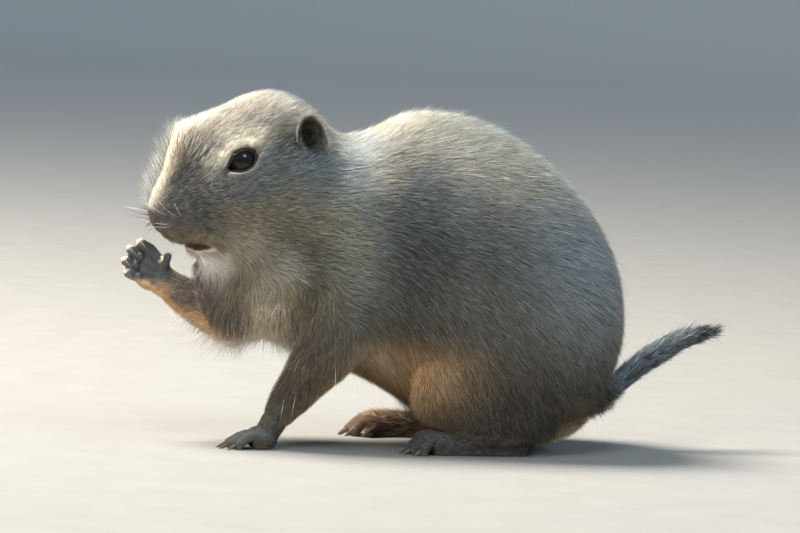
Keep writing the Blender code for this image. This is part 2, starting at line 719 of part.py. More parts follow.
def colour_of(name):
    if "claw" in name:
        return (0.06, 0.045, 0.035)
    if "eye" in name:
        return (0.012, 0.009, 0.008)
    if name == "nose":
        return (0.22, 0.14, 0.10)
    if "paw" in name or "foot" in name:
        return (0.20, 0.16, 0.13)
    if name in ("tail", "tail_brush"):
        return (0.16, 0.13, 0.11)
    if name in ("chest", "neck") or "arm" in name:
        return (0.42, 0.35, 0.27)
    return (0.34, 0.28, 0.22)


def settle():
    """Sets the flat soles on the floor, with the middle of the animal's box over the origin."""
    meshes = [obj.data for obj in bpy.context.scene.objects]
    points = np.vstack([points_of(obj) for obj in bpy.context.scene.objects])
    middle = (points.min(axis=0) + points.max(axis=0)) / 2
    shift = Matrix.Translation(Vector((-middle[0], -middle[1], -FLOOR)) * MM)
    for mesh in meshes:
        mesh.transform(shift)
        for vertex in mesh.vertices:
            if abs(vertex.co.z) < SOLE_SLACK * MM:
                vertex.co.z = 0


def clear_scene():
    for obj in list(bpy.data.objects):
        bpy.data.objects.remove(obj)


def main():
    clear_scene()
    body = flesh()
    face = [(*mirrored(EYE, s), 10.5) for s in (-1, 1)] + [(-104, 0, 84, 12)]
    thinned(body, BODY_TRIANGLES, face)

    # Paws and the tail, each with its own plane cut from the body.
    left_forepaw()
    right_forepaw()
    feet = (
        hind_foot("left_hind_foot", "left_hind_claw", -1, 33, -11.5, 5.8),
        hind_foot("right_hind_foot", "right_hind_claw", 1, 24, -21.5, 5.8),
    )
    for start, ahead in (LEFT_WRIST, RIGHT_WRIST):
        boolean(body, "DIFFERENCE", block("past", start, ahead, 14, 60, GAP / 2))
    start, ahead = TAIL_CUT
    boolean(body, "DIFFERENCE", block("past", start, ahead, 12, 60, GAP / 2))
    tail_with_locks()

    # The head, its face, and the pieces that sit in it.
    head = part_off(body, "head", lambda grow: prism("tool", HEAD_CUT, -60, 60, grow))
    nose = (-114.4, 0, 90.4), (4.4, 4.2, 3.3), (0, 0, 0), 16, 8
    part_off(head, "nose", lambda grow: ellipsoid("tool", *nose, grow=grow))
    cut_face(head)
    for side, name in ((-1, "left"), (1, "right")):
        ear(f"{name}_ear", side)
        eyeball(f"{name}_eye", side)

    # Limbs.
    part_off(body, "left_forearm", lambda grow: prism("tool", FOREARM_CUT, -60, -18.5, grow))
    elbow = (-77.5, 18.6, 52), (-0.86, -0.35, 0.35), 12, 60
    part_off(body, "right_forearm", lambda grow: block("tool", *elbow, grow))
    for name, *arm in (
        ("left_upper_arm", (-37, -33, 70), (17, 13, 25), (0, -15, 0)),
        ("right_upper_arm", (-56, 27, 63), (14, 12, 24), (0, 38, 0)),
    ):
        part_off(body, name, lambda grow: ellipsoid("tool", *arm, 16, 8, grow))
    haunches = []
    for name, side in (("left_thigh", -1), ("right_thigh", 1)):
        haunch = (24, 43 * side, 40), (31, 20, 35), (0, 20, 0), 20, 10
        haunches.append(part_off(body, name, lambda grow: ellipsoid("tool", *haunch, grow)))

    # Neck, chest and abdomen.
    part_off(body, "neck", lambda grow: prism("tool", NECK_CUT, -60, 60, grow))
    part_off(body, "chest", lambda grow: prism("tool", CHEST_CUT, -80, 80, grow))
    body.name = "abdomen"
    for foot, thigh in zip(feet, haunches):
        boolean(body, "DIFFERENCE", grown_copy(foot, GAP * 1.3))
        boolean(thigh, "DIFFERENCE", grown_copy(foot, GAP * 1.3))

    for obj in bpy.context.scene.objects:
        obj.data = without_slivers(obj.data, 0.08, 4)
    settle()
    for obj in bpy.context.scene.objects:
        dressed(obj, colour_of(obj.name), 0.15 if "eye" in obj.name else 0.85)


if __name__ == "__main__":
    main()
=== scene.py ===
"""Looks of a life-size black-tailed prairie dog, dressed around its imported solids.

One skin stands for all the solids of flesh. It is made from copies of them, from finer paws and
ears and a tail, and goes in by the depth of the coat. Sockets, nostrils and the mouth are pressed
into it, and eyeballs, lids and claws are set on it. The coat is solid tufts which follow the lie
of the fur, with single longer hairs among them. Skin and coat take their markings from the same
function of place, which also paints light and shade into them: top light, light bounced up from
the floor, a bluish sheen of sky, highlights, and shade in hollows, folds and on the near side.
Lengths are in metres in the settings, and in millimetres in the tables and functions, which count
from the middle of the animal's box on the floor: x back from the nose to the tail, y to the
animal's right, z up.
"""

import math

import bmesh
import bpy
import numpy as np
from mathutils import Euler, Matrix, Vector


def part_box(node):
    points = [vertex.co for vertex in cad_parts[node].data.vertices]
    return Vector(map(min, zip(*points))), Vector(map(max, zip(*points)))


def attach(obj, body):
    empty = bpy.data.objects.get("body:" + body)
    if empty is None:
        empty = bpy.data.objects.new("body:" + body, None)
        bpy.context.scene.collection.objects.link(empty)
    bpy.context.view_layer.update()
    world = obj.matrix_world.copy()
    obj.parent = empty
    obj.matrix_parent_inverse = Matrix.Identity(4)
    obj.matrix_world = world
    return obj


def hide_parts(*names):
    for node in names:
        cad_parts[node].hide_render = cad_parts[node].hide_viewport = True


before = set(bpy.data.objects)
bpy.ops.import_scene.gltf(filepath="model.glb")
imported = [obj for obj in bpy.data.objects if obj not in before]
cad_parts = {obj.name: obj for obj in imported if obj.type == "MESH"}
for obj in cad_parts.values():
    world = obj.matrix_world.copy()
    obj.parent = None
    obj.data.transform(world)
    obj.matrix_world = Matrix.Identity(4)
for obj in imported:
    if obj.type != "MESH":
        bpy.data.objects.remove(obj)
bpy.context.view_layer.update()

bl_info = {
    "name": "Prairie dog",
    "version": (1, 0, 0),
    "blender": (4, 5, 0),
    "location": "View3D > Sidebar > Prairie dog",
    "description": "Skin, coat, eyes, claws and whiskers of a life-size prairie dog",
    "category": "Object",
}

MM = 0.001
UNWRAP = "OFBake"
NOT_FLESH = ("eye", "claw", "_ear", "tail")
FLESH = [name for name in sorted(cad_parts) if not any(word in name for word in NOT_FLESH)]
PAWS = ("left_forepaw", "right_forepaw", "left_hind_foot", "right_hind_foot")
HOME = np.array((2.43, -0.03, 2.80))  # the middle of the floor in the tables of the solids
SOLE = 0.05  # the skin stays at least this high over the floor
HAIR_END = 0.08  # and the hair this high


def centre_of(node):
    """The middle of a node's box, in millimetres."""
    low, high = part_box(node)
    return np.array((low + high) / 2) / MM


EYE = np.abs(centre_of("left_eye")) * (-1, 1, 1)
EYE_RADIUS = 6.1
EYE_AXIS = np.array((-0.26, 0.94, 0.20)) / np.linalg.norm((-0.26, 0.94, 0.20))
EYE_SLANT = math.radians(-33)
EYE_OPENING = (5.0, 3.7)  # half length and half height between the lids
EAR = np.array((-57.2, 22.8, 122.8))
EAR_RADII = (5.5, 9.2)
EAR_OUT = 0.4  # the ear stands out from its place by this much
NOSE_TIP = np.array((-116.7, 0.0, 88.0))
NOSTRIL = ((-111.6, 4.0, 85.4), (3.0, 1.7, 1.5))
MOUTH = ((-99.8, 7.5, 77.3), (7.8, 8.0, 1.8))
MUZZLE_STRIPE = ((-95, 12.5, 116), (-103, 10, 107.5), (-110, 7, 98))

# The way each limb runs, as x, y, z points down its middle.
LEFT_ARM = (
    *((-38, -20, 81), (-41, -25, 63), (-46, -29.5, 44), (-55, -29, 30)),
    *((-63, -27, 19), (-71, -25, 7), (-86, -25, 3)),
)
RIGHT_ARM = (
    *((-44, 19, 77), (-58, 23, 60), (-74, 21, 49), (-84, 16.5, 50)),
    *((-94, 12, 54.6), (-105, 8, 61), (-126, 4, 72)),
)

# Rows of x, y, z, half width and half height, in the tables of the solids.
LEFT_WRIST = (
    (-54, -28.9, 31.5, 7.4, 8.0),
    (-60.5, -27, 22, 6.2, 6.6),
    (-65.5, -25.5, 13.5, 5.7, 5.3),
    (-68.5, -25, 8, 5.6, 5.0),
)
RIGHT_WRIST = (
    (-93, 11.6, 58, 6.6, 7.2),
    (-98, 9.6, 60.9, 6.2, 6.8),
    (-103, 8, 63.8, 5.8, 6.4),
    (-108, 6.5, 66.8, 5.6, 6.4),
)
FINGERS = (
    ((-110.6, 4.6, 70.6), (-114.9, 5.2, 75.0), (-118.4, 2.6, 77.6)),
    ((-113.3, 4.6, 69.0), (-118.4, 5.0, 72.6), (-122.6, 2.2, 75.0)),
    ((-114.8, 4.6, 66.2), (-120.2, 4.7, 68.6), (-124.6, 1.7, 70.4)),
    ((-114.2, 4.7, 63.0), (-119.2, 4.8, 64.4), (-123.2, 1.9, 65.6)),
)  # knuckle, middle joint and tip of each finger of the raised hand
THUMB_TIP = (-107.8, 0.9, 73.2)

# Rows of x, y, z, half width and half height, here.
TAIL = (
    (57.6, 0.5, 16.0, 6.0, 6.5),
    (65.6, 0.8, 18.0, 4.2, 4.6),
    (72.1, 1.4, 21.2, 3.4, 3.8),
    (79.0, 3.0, 26.9, 3.6, 4.0),
    (87.4, 5.0, 33.1, 3.3, 3.7),
    (95.8, 7.0, 38.5, 2.8, 3.1),
    (104.6, 10.0, 42.9, 2.3, 2.6),
    (113.2, 12.5, 45.6, 1.7, 1.8),
    (117.6, 13.6, 46.8, 1.1, 1.2),
)

# The nape and the rump over the tail, smoothed further: middle, radii and rounds.
SMOOTHER = (((-45, 0, 122), (14, 30, 19), 44), ((68, 1, 30), (13, 19, 19), 150))
# The end of the rump and the forehead, which lie deeper under the coat: middle, radii and depth.
DEEPER = (((67, 0, 24), (14, 34, 22), 4.6), ((-92, 0, 125), (15, 18, 12), 1.3))
# Where the fringe hangs: middle, radii and hairs to a square millimetre.
FRINGE = (
    ((-70, 0, 40), (16, 22, 10), 1.7),
    ((-82, 16, 45), (13, 10, 9), 0.7),
    ((-86, -2, 68), (7, 8, 6), 0.9),
)

# Where the coat changes: x, distance from the middle plane, z and reach of a place, then the
# length, width and rise of its tufts, how many stand on a square millimetre and how loose they lie.
COAT_PLACES = {
    "nose": (-116, 0, 88, 3.5, 0.6, 0.18, 0.12, 8.0, 0.20),
    "muzzle": (-108, 7, 89, 6, 1.9, 0.24, 0.35, 9.0, 0.20),
    "muzzle_top": (-106, 0, 100, 7, 2.3, 0.24, 0.40, 9.0, 0.20),
    "lips": (-99, 10, 80, 5, 1.5, 0.22, 0.30, 9.0, 0.20),
    "chin": (-97, 4, 73, 7, 4.2, 0.28, 0.90, 6.0, 0.40),
    "brow": (-86, 16, 121, 7, 3.2, 0.26, 0.60, 8.0, 0.25),
    "eye": (-82, 20, 111, 6, 1.7, 0.22, 0.30, 9.0, 0.15),
    "cheek": (-76, 25, 92, 13, 4.3, 0.30, 1.00, 6.6, 0.28),
    "crown": (-74, 4, 136, 13, 4.5, 0.30, 1.10, 6.2, 0.34),
    "ear": (-56, 23, 123, 6, 1.3, 0.20, 0.22, 10.0, 0.20),
    "nape": (-44, 8, 130, 12, 6.0, 0.36, 1.50, 4.4, 0.38),
    "neck": (-52, 28, 95, 14, 6.6, 0.36, 1.70, 4.2, 0.28),
    "throat": (-78, 6, 66, 11, 7.6, 0.30, 1.80, 4.2, 0.40),
    "chest": (-66, 8, 45, 13, 9.2, 0.30, 2.20, 3.6, 0.38),
    "belly": (5, 8, 12, 22, 6.4, 0.38, 1.80, 3.0, 0.36),
    "rump": (58, 0, 14, 14, 6.6, 0.38, 1.40, 3.0, 0.34),
    "left_foreleg": (-50, 30, 36, 12, 4.2, 0.30, 1.00, 5.6, 0.24),
    "left_wrist": (-64, 26, 14, 8, 2.6, 0.26, 0.50, 7.0, 0.22),
    "left_forepaw": (-79, 25, 4, 11, 1.2, 0.20, 0.20, 8.0, 0.25),
    "right_forearm": (-84, 17, 50, 10, 4.6, 0.32, 1.20, 4.4, 0.35),
    "right_wrist": (-103, 9, 59, 7, 2.4, 0.25, 0.45, 7.0, 0.30),
    "right_hand": (-117, 3, 69, 11, 0.8, 0.16, 0.08, 8.0, 0.10),
    "left_heel": (26, 34, 6, 7, 1.9, 0.24, 0.40, 7.0, 0.30),
    "left_foot": (4, 34, 5, 9, 1.5, 0.22, 0.30, 8.0, 0.30),
    "left_toes": (-13, 34, 3, 9, 1.1, 0.18, 0.18, 9.0, 0.25),
    "right_toes": (-21, 34, 3, 8, 1.1, 0.18, 0.18, 9.0, 0.25),
    "tail_root": (72, 1, 22, 9, 5.2, 0.36, 0.55, 4.6, 0.25),
    "tail": (98, 8, 41, 12, 8.0, 0.40, 1.25, 5.0, 0.34),
    "tail_tip": (117, 13, 47, 9, 9.0, 0.40, 1.00, 6.0, 0.40),
}
COAT_ELSEWHERE = (7.0, 0.40, 2.0, 3.5, 0.32)
BENT_FROM = 7.9  # tufts at least this long bend on their way; shorter ones are straight
PIECE_FACES = 190000  # no piece of the coat has more triangles
PATCH = 0.003  # width of one tuft's patch on the unwrap

# Patches laid over the ground colour in this order: colour, middle, radii, softness, strength,
# and the side: 0 both, -1 the animal's left, 1 its right.
PATCHES = (
    # Dark patches on the upper flank and behind the neck: painted shade.
    ("dusk_and_shade", (12, 42, 86), (32, 20, 22), 0.9, 0.4, 0),
    ("dusk_and_shade", (-19, 40, 88), (13, 22, 32), 0.8, 0.7, 0),
    # White on the nape: a painted highlight of the light from behind.
    ("white_and_highlight", (-38, 18, 121), (9, 16, 11), 0.7, 0.55, 0),
    # Bluish patches on the rump, the upper back and the sides of the neck: a painted sheen of sky light.
    ("sky_sheen", (52, 34, 78), (26, 30, 36), 0.7, 0.8, 0),
    ("sky_sheen", (-8, 40, 108), (26, 26, 18), 0.6, 0.2, 0),
    ("sky_sheen", (-50, 27, 106), (14, 18, 14), 0.6, 0.7, 0),
    ("mane", (-50, 28, 80), (15, 18, 26), 0.6, 0.8, 0),
    ("grey", (-64, 25, 112), (13, 10, 10), 0.6, 0.6, 0),
    ("tan", (-72, 24, 89), (22, 18, 15), 0.6, 0.85, 0),
    # Dark band under the jaw: the jaw's painted shadow.
    ("umber_and_shade", (-64, 24, 78), (15, 16, 8), 0.6, 0.6, 0),
    ("grey", (-103, 10, 91), (14, 9, 10), 0.5, 0.75, 0),
    ("grey", (-84, 22, 103), (12, 9, 8), 0.5, 0.7, 0),
    # Cream brow: partly its own pale fur, partly a painted highlight on the ridge.
    ("cream_and_painted_light", (-84, 17, 121.5), (10, 7, 5), 0.5, 0.6, 0),
    ("cream_and_painted_light", (-95, 13, 111), (5, 6, 9), 0.5, 0.5, 0),
    ("cream_and_painted_light", (-97, 8, 73.5), (13, 12, 4), 0.5, 0.8, 0),
    # White throat: partly its own pale fur, partly painted backlight.
    ("white_and_highlight", (-92, 0, 68), (17, 12, 9), 0.5, 0.95, 0),
    ("cream_and_painted_light", (-70, 0, 52), (20, 24, 24), 0.5, 1.0, 0),
    ("mauve", (-91, 4, 52), (15, 24, 15), 0.35, 0.95, 0),
    # Orange under the chest and the raised arm: painted warm light bounced up from the floor.
    ("rust_and_bounce_light", (-90, 4, 41), (18, 24, 7), 0.5, 0.8, 0),
    ("tan", (-82, 12, 68), (4.5, 9, 9), 0.6, 0.5, 0),
    ("cream_and_painted_light", (-82, 17, 80), (10, 9, 7), 0.7, 0.4, 0),
    ("umber_and_shade", (-109, 6, 89), (6, 9, 7), 0.7, 0.6, 0),
    ("tan", (-103, 8, 81), (9, 9, 4.5), 0.6, 0.7, 0),
    ("tan", (-52, 19, 54), (4, 12, 16), 0.6, 0.7, 0),
    # White lower edge of the chest: painted backlight through its hanging hairs.
    ("white_and_highlight", (-68, 0, 37), (15, 24, 8), 0.5, 0.9, 0),
    ("umber_and_shade", (32, 42, 20), (46, 24, 24), 0.6, 0.45, 0),
    # Orange belly: partly its own buff, partly painted warm light bounced up from the floor.
    ("rust_and_bounce_light", (-16, 16, 30), (34, 25, 19), 0.6, 0.95, 0),
    ("rust_and_bounce_light", (-2, 34, 36), (16, 16, 12), 0.8, 0.3, 0),
    # Cream on the belly by the foreleg: painted light bounced up from the floor.
    ("cream_and_painted_light", (-30, 28, 36), (12, 14, 10), 0.6, 0.55, 0),
    ("cream_and_painted_light", (-68, 20, 63), (9, 14, 15), 0.6, 0.48, 0),
    # Narrow dark band in the fold between the neck and the chest: painted shade.
    ("umber_and_shade", (-56, 25, 66), (4.5, 13, 14), 0.7, 0.6, 0),
    # Left only: a darker foreleg, wrist and feet, partly their own colour and partly painted shade on the
    # side away from the key light.
    ("umber_and_shade", (-52, 30, 44), (15, 14, 28), 0.6, 0.4, -1),
    ("slate", (-66, 26, 14), (12, 12, 12), 0.6, 0.35, -1),
    ("slate", (-76, 25, 3), (18, 14, 8), 0.4, 0.9, -1),
    ("slate", (6, 34, 4), (34, 14, 8), 0.4, 0.85, -1),
    ("night_and_shade", (6, 34, 3), (34, 14, 6), 0.4, 0.35, -1),
    ("russet", (-2, 34, 4), (34, 14, 8), 0.4, 0.8, 1),
)


def unit(vectors):
    """Each vector over its own length."""
    return vectors / np.maximum(np.linalg.norm(vectors, axis=-1, keepdims=True), 1e-12)


def ease(values, low, high):
    """0 below low and 1 above high, with a smooth step between; high may be the lower one."""
    share = np.clip((values - low) / (high - low), 0, 1)
    return share * share * (3 - 2 * share)


def on_one_side(points):
    """The points with the animal's left half laid over its right one."""
    return np.column_stack([points[:, 0], np.abs(points[:, 1]), points[:, 2]])


def radii_from(points, middle, radii):
    """How far each point lies from the middle, with an ellipsoid's radii each counted as 1."""
    return np.linalg.norm((points - middle) / radii, axis=1)


def around(points, middle, radii, low, high):
    """The smooth step from low to high over how far each point lies from the middle, in radii."""
    return ease(radii_from(points, middle, radii), low, high)


def bell(points, middle, radii):
    """exp(-distance^2), with the distance from the middle in radii: 1 there and 0 far off."""
    return np.exp(-(radii_from(points, middle, radii) ** 2))


def along_path(points, path):
    """(distance from the path, share of its length gone by, way it runs) at the nearest place."""
    path = np.array([row[:3] for row in path], float)
    steps = np.diff(path, axis=0)
    lengths = np.linalg.norm(steps, axis=1)
    start = np.concatenate([[0], np.cumsum(lengths)[:-1]])
    away = points[:, None] - path[None, :-1]
    share = np.clip((away * steps).sum(2) / lengths**2, 0, 1)
    apart = np.linalg.norm(away - share[..., None] * steps, axis=2)
    nearest = apart.argmin(axis=1)
    rows = np.arange(len(points))
    gone = (start[nearest] + share[rows, nearest] * lengths[nearest]) / lengths.sum()
    return apart[rows, nearest], gone, unit(steps)[nearest]


def coat_at(points):
    """Length, width, rise, number and looseness of the tufts at each point.

    Every place of the table counts by exp(-(distance / reach)^2), and what holds elsewhere
    counts a little everywhere.
    """
    table = np.array(list(COAT_PLACES.values()))
    apart = np.linalg.norm(on_one_side(points)[:, None] - table[None, :, :3], axis=2) / table[:, 3]
    weight = np.exp(-(apart**2))
    names = list(COAT_PLACES)
    at_hand = (points[:, 0] < -98) & (points[:, 2] < 82)
    for side, far in ((-1, "right"), (1, "left")):
        other = [i for i, name in enumerate(names) if name.startswith(far)]
        here = np.where(np.where(at_hand, 1, np.sign(points[:, 1])) == side)[0]
        weight[np.ix_(here, other)] *= 0.02
    little = 0.035
    values = weight @ table[:, 4:] + little * np.array(COAT_ELSEWHERE)
    return (values / (weight.sum(axis=1) + little)[:, None]).T


def markings(points, normals, colours):
    """The coat's colour at each point, with light and shade painted into it: a ground colour by height
    and by the way the skin faces, then each patch laid over it, fading out where (distance / radii)
    passes 1. Paler where the skin faces up and warmer where it faces down are partly painted top
    light and light bounced up from the floor. The comments below tell which patches and masks paint
    highlights, sky sheen and shade."""
    x, y, z = points.T
    colour = np.tile(colours["grizzle"], (len(points), 1))

    def lay(name, share):
        nonlocal colour
        colour = colour + (colours[name] - colour) * share[:, None]

    def near(middle, radii, soft, places=points):
        return around(places, middle, radii, 1 + soft, 1 - soft)

    body = ease(x, -62, -30)
    lay("umber_and_shade", 0.75 * ease(z, 62, 22))
    # Paler straw where the skin faces up: partly the back's own buff, partly painted top light.
    lay("straw_and_top_light", ease(normals[:, 2], 0.18 + 0.09 * (1 - body), 0.64 + 0.26 * (1 - body)) * ease(z, 70, 105))
    lay("grey", 0.45 * (1 - body) * ease(normals[:, 2], 0.75, 0.35) * ease(z, 92, 104))
    lay("tan", 0.35 * ease(x, -76, -92) * ease(z, 96, 108) * ease(normals[:, 2], 0.95, 0.6))
    # White where the top of the head faces up: partly pale fur, partly a painted highlight.
    lay("white_and_highlight", (0.2 - 0.15 * body) * ease(normals[:, 2], 0.45, 0.95) * ease(z, 100, 120))
    # Cream where the top of the body faces up: partly pale hair tips, partly painted top light.
    lay("cream_and_painted_light", 0.35 * body * ease(normals[:, 2], 0.35, 0.85) * ease(z, 90, 112))
    # Warmer where the skin faces down: partly the belly's own buff, partly painted light bounced up from the
    # floor.
    lay("rust_and_bounce_light", 0.85 * ease(normals[:, 2], -0.25, -0.8) * ease(z, 60, 20))
    both = on_one_side(points)
    for name, middle, radii, soft, strength, side in PATCHES:
        middle = np.array(middle) * (1, side or 1, 1)
        lay(name, strength * near(middle, radii, soft, points if side else both))

    distance, gone, _ = along_path(both, MUZZLE_STRIPE)
    lay("dusk_and_shade", 0.8 * ease(distance, 5.0, 1.5) * ease(gone, 1.0, 0.8))
    speck = np.sin(x * 2.3 + 1.3 * np.sin(z * 1.1)) * np.sin(z * 2.6 + 1.1 * np.sin(x * 1.3 + y))
    lay("dusk_and_shade", 0.85 * ease(speck, 0.05, 0.45) * around(both, (-100, 11, 90), (15, 12, 11), 1.2, 0.6))
    # Cream along the top of the muzzle: partly pale fur, partly a painted highlight on the ridge.
    lay("cream_and_painted_light", 0.65 * ease(np.abs(y), 9, 3) * ease(z, 90, 96) * ease(x, -90, -97))
    for side in (-1, 1):
        a, b, c, gap = eye_places(points, side)
        here = (c > -2) & (np.abs(points[:, 1] - EYE[1] * side) < 12)
        lay("cream_and_painted_light", 0.4 * here * ease(gap, 0.8, 1.6) * ease(gap, 5.5, 3.0) * ease(b + 0.5 * a, -2.0, 3.0))
        lay("lid", here * ease(gap, 1.5, 0.8))
        lay("lid", 0.95 * here * ease(np.abs(b + 0.3), 2.0, 0.8) * ease(a, 4.5, 6.0) * ease(a, 12.0, 8.0))
        hollow, below = ear_places(points, side)
        at_ear = around(points, EAR * (1, side, 1), (8.5, 9, 11), 1.15, 0.85)
        lay("dusk_and_shade", 0.6 * at_ear * ease(x, -48, -54))
        # Near black in the ear's hollow: painted shade in the recess.
        lay("night_and_shade", 0.97 * hollow * (1 - 0.25 * below))
    lay("nose", around(points, (-115.0, 0, 86.8), (4.6, 5.6, 4.6), 1.2, 0.85))
    # Dark in the nostrils: partly their own dark skin, partly painted shade inside.
    lay("mouth", around(both, *NOSTRIL, 1.1, 0.7))

    distance, gone, _ = along_path(points, RIGHT_ARM)
    arm = ease(distance, 17, 13) * ease(gone, 0.30, 0.42)
    lay("mauve", 0.9 * arm)
    # Orange where the raised arm faces down: painted light bounced up from the floor.
    lay("rust_and_bounce_light", 0.85 * arm * ease(normals[:, 2], -0.5, -0.85))
    hand = near((-117, 2, 70), (12, 8, 11), 0.25)
    lay("slate", 0.95 * hand)
    # Darker in the middle of the palm: painted shade in the cupped hand.
    lay("night_and_shade", 0.55 * near((-114, -1, 70), (9, 6, 8), 0.4))
    # Orange under the raised hand: painted light bounced up from the floor.
    lay("rust_and_bounce_light", 0.6 * near((-117, 3, 59), (13, 8, 4.5), 0.4) * ease(normals[:, 2], 0.2, -0.5))
    apart = np.sort([along_path(points, finger)[0] for finger in FINGERS], axis=0)
    # Cream on the fingertips and knuckles where they face up and ahead: a painted highlight.
    lay("cream_and_painted_light", 0.8 * hand * ease(normals[:, 2] - 0.8 * normals[:, 0], 0.4, 1.1) * ease(apart[0], 4.0, 3.0))
    # Dark where the skin lies between two fingers: painted shade between them.
    lay("night_and_shade", 0.9 * hand * ease(apart[1] - apart[0], 1.3, 0.3) * ease(apart[1], 4.4, 3.6))

    distance, gone, _ = along_path(points, TAIL)
    on_tail = ease(distance, 14, 10) * ease(x, 70, 78)
    upper = ease(normals[:, 2], -0.1, 0.7)
    lay("slate", on_tail)
    # Bluish on the upper side of the tail: a painted sheen of sky light.
    lay("sky_sheen", on_tail * 0.4 * upper * ease(gone, 0.95, 0.75))
    lay("night_and_shade", on_tail * 0.75 * ease(gone, 0.75, 0.92))

    lay("lip", 0.7 * around(both, *MOUTH, 1.7, 1.3) * ease(z, 77.4, 76.6) * (x < -88))
    # Dark in the mouth: painted shade in the opening under the upper lip.
    lay("mouth", around(both, *MOUTH, 1.15, 0.85))
    return np.clip(colour, 0.004, 0.9)


def clumps(points):
    """-1 to 1, in a smooth wavy pattern of spots 1 to 2 wide, for hairs that share a shade."""
    x, y, z = points.T / 0.7
    wide = np.sin(x + 1.9 * np.sin(0.61 * z + 0.4 * y)) * np.sin(1.13 * z + 1.7 * np.sin(0.53 * y + 0.37 * x))
    fine = np.sin(1.71 * y + 1.3 * np.sin(0.83 * x)) * np.sin(1.37 * x - 1.21 * z)
    return np.clip(0.8 * wide + 0.6 * fine, -1, 1)


def lie_of_coat(points, normals):
    """The way the hair points: away from the nose on the head, back and ever more down on the
    flanks, down on legs and chest, along the toes and along the tail."""
    x, y, z = points.T
    side = np.sign(y)
    fall = np.radians(np.interp(z, (8, 35, 65, 95, 125), (70, 62, 40, 18, 2)))
    trunk = np.column_stack([np.cos(fall), 0.10 * side, -np.sin(fall)])
    neck = np.column_stack([0.96 + 0 * x, 0.05 * side, -0.24 + 0 * x])
    head = unit(points - NOSE_TIP) + (0.25, 0, -0.05)
    chest = np.column_stack([-0.15 + 0 * x, 0.12 * side, -1 + 0 * x])

    def over(under, cover, share):
        return under + (cover - under) * share[:, None]

    way = over(trunk, neck, ease(x, -22, -40) * ease(z, 45, 62))
    way = over(way, unit(head), ease(x, -46, -64) * ease(z, 60, 70))
    front = ease(x, -40, -56) * ease(z, 72, 62)
    faces_ahead = ease(normals[:, 0], -0.3, -0.8) * ease(z, 76, 66) * ease(x, -30, -50)
    way = over(way, chest, np.maximum(front, faces_ahead))
    way = over(way, np.array((1.0, 0, 0)), ease(normals[:, 2], -0.5, -0.9) * ease(x, -40, -20))
    for path, hang in ((LEFT_ARM, (0.25, 0, -0.9)), (RIGHT_ARM, (-0.1, 0, -0.8))):
        distance, gone, run = along_path(points, path)
        own = ease(distance, 17, 12) * ease(gone, 0.28, 0.42)
        sway = np.array(hang) * ease(gone, 0.9, 0.55)[:, None]
        way = over(way, unit(run + sway), own)
    on_foot = ease(z, 13, 9) * ease(np.abs(y), 22, 25) * ease(x, 34, 24) * ease(x, -40, -30)
    way = over(way, np.array((-1.0, 0, -0.1)), on_foot)
    distance, _, run = along_path(points, TAIL)
    on_tail = ease(distance, 14, 9) * ease(x, 72, 79)
    way = over(way, unit(run + 0.22 * normals), on_tail)
    wave = np.column_stack(
        [
            np.sin(x * 0.31 + 2 * np.sin(z * 0.17 + y * 0.09)),
            np.sin(y * 0.27 + 2 * np.sin(x * 0.15 + 1.7)),
            np.sin(z * 0.34 + 2 * np.sin(x * 0.13 - y * 0.11)),
        ]
    )
    way = unit(way) + 0.10 * wave
    at_mouth = around(on_one_side(points), MOUTH[0], (10, 9, 5), 1.2, 0.7)
    way = over(way, np.column_stack([1 + 0 * x, 0.1 * side, 0.25 * np.sign(z - MOUTH[0][2])]), at_mouth)
    for turned in (-1, 1):
        _, _, ahead, up = eye_frame(turned)
        a, b, c, gap = eye_places(points, turned)
        away = unit(a[:, None] * ahead + b[:, None] * up)
        towards = np.minimum((unit(way) * away).sum(axis=1), 0) * ease(gap, 7.0, 3.5) * (c > 0)
        way = unit(way) - away * (1.25 * towards)[:, None]
        local, share = ear_frame(points, turned)
        at_ear = ease(share, 1.35, 1.0)
        at_ear *= ease(np.abs(local[:, 1]), 8.0, 6.0)
        way = over(way, np.array((0.55, 0.1 * turned, 0.85)), at_ear)
    way -= (way * normals).sum(axis=1)[:, None] * normals
    return unit(way)


def read(rows, name, width, kind=np.float32):
    """One property of all rows of a mesh's part, as an array with width columns."""
    values = np.empty(len(rows) * width, kind)
    rows.foreach_get(name, values)
    return values.reshape(-1, width)


def arrays_of(obj):
    """(points in millimetres, triangles) of a mesh object, with loose faces joined at their corners."""
    mesh = obj.data
    mesh.calc_loop_triangles()
    points = read(mesh.vertices, "co", 3).astype(float) / MM
    faces = read(mesh.loop_triangles, "vertices", 3, np.int32)
    _, first, index = np.unique(np.round(points, 3), axis=0, return_index=True, return_inverse=True)
    faces = index.reshape(-1)[faces]
    flat = (faces[:, 0] == faces[:, 1]) | (faces[:, 1] == faces[:, 2]) | (faces[:, 0] == faces[:, 2])
    return points[first], faces[~flat]


def point_normals(points, faces):
    """Area-weighted mean of the faces round each point."""
    a, b, c = (points[faces[:, k]] for k in range(3))
    across = np.cross(b - a, c - a)
    total = np.zeros_like(points)
    for corner in range(3):
        for axis in range(3):
            total[:, axis] += np.bincount(faces[:, corner], weights=across[:, axis], minlength=len(points))
    return unit(total)


def edges_of(faces):
    """Both ends of each edge, once."""
    ends = np.sort(np.concatenate([faces[:, [0, 1]], faces[:, [1, 2]], faces[:, [2, 0]]]), axis=1)
    return np.unique(ends, axis=0)


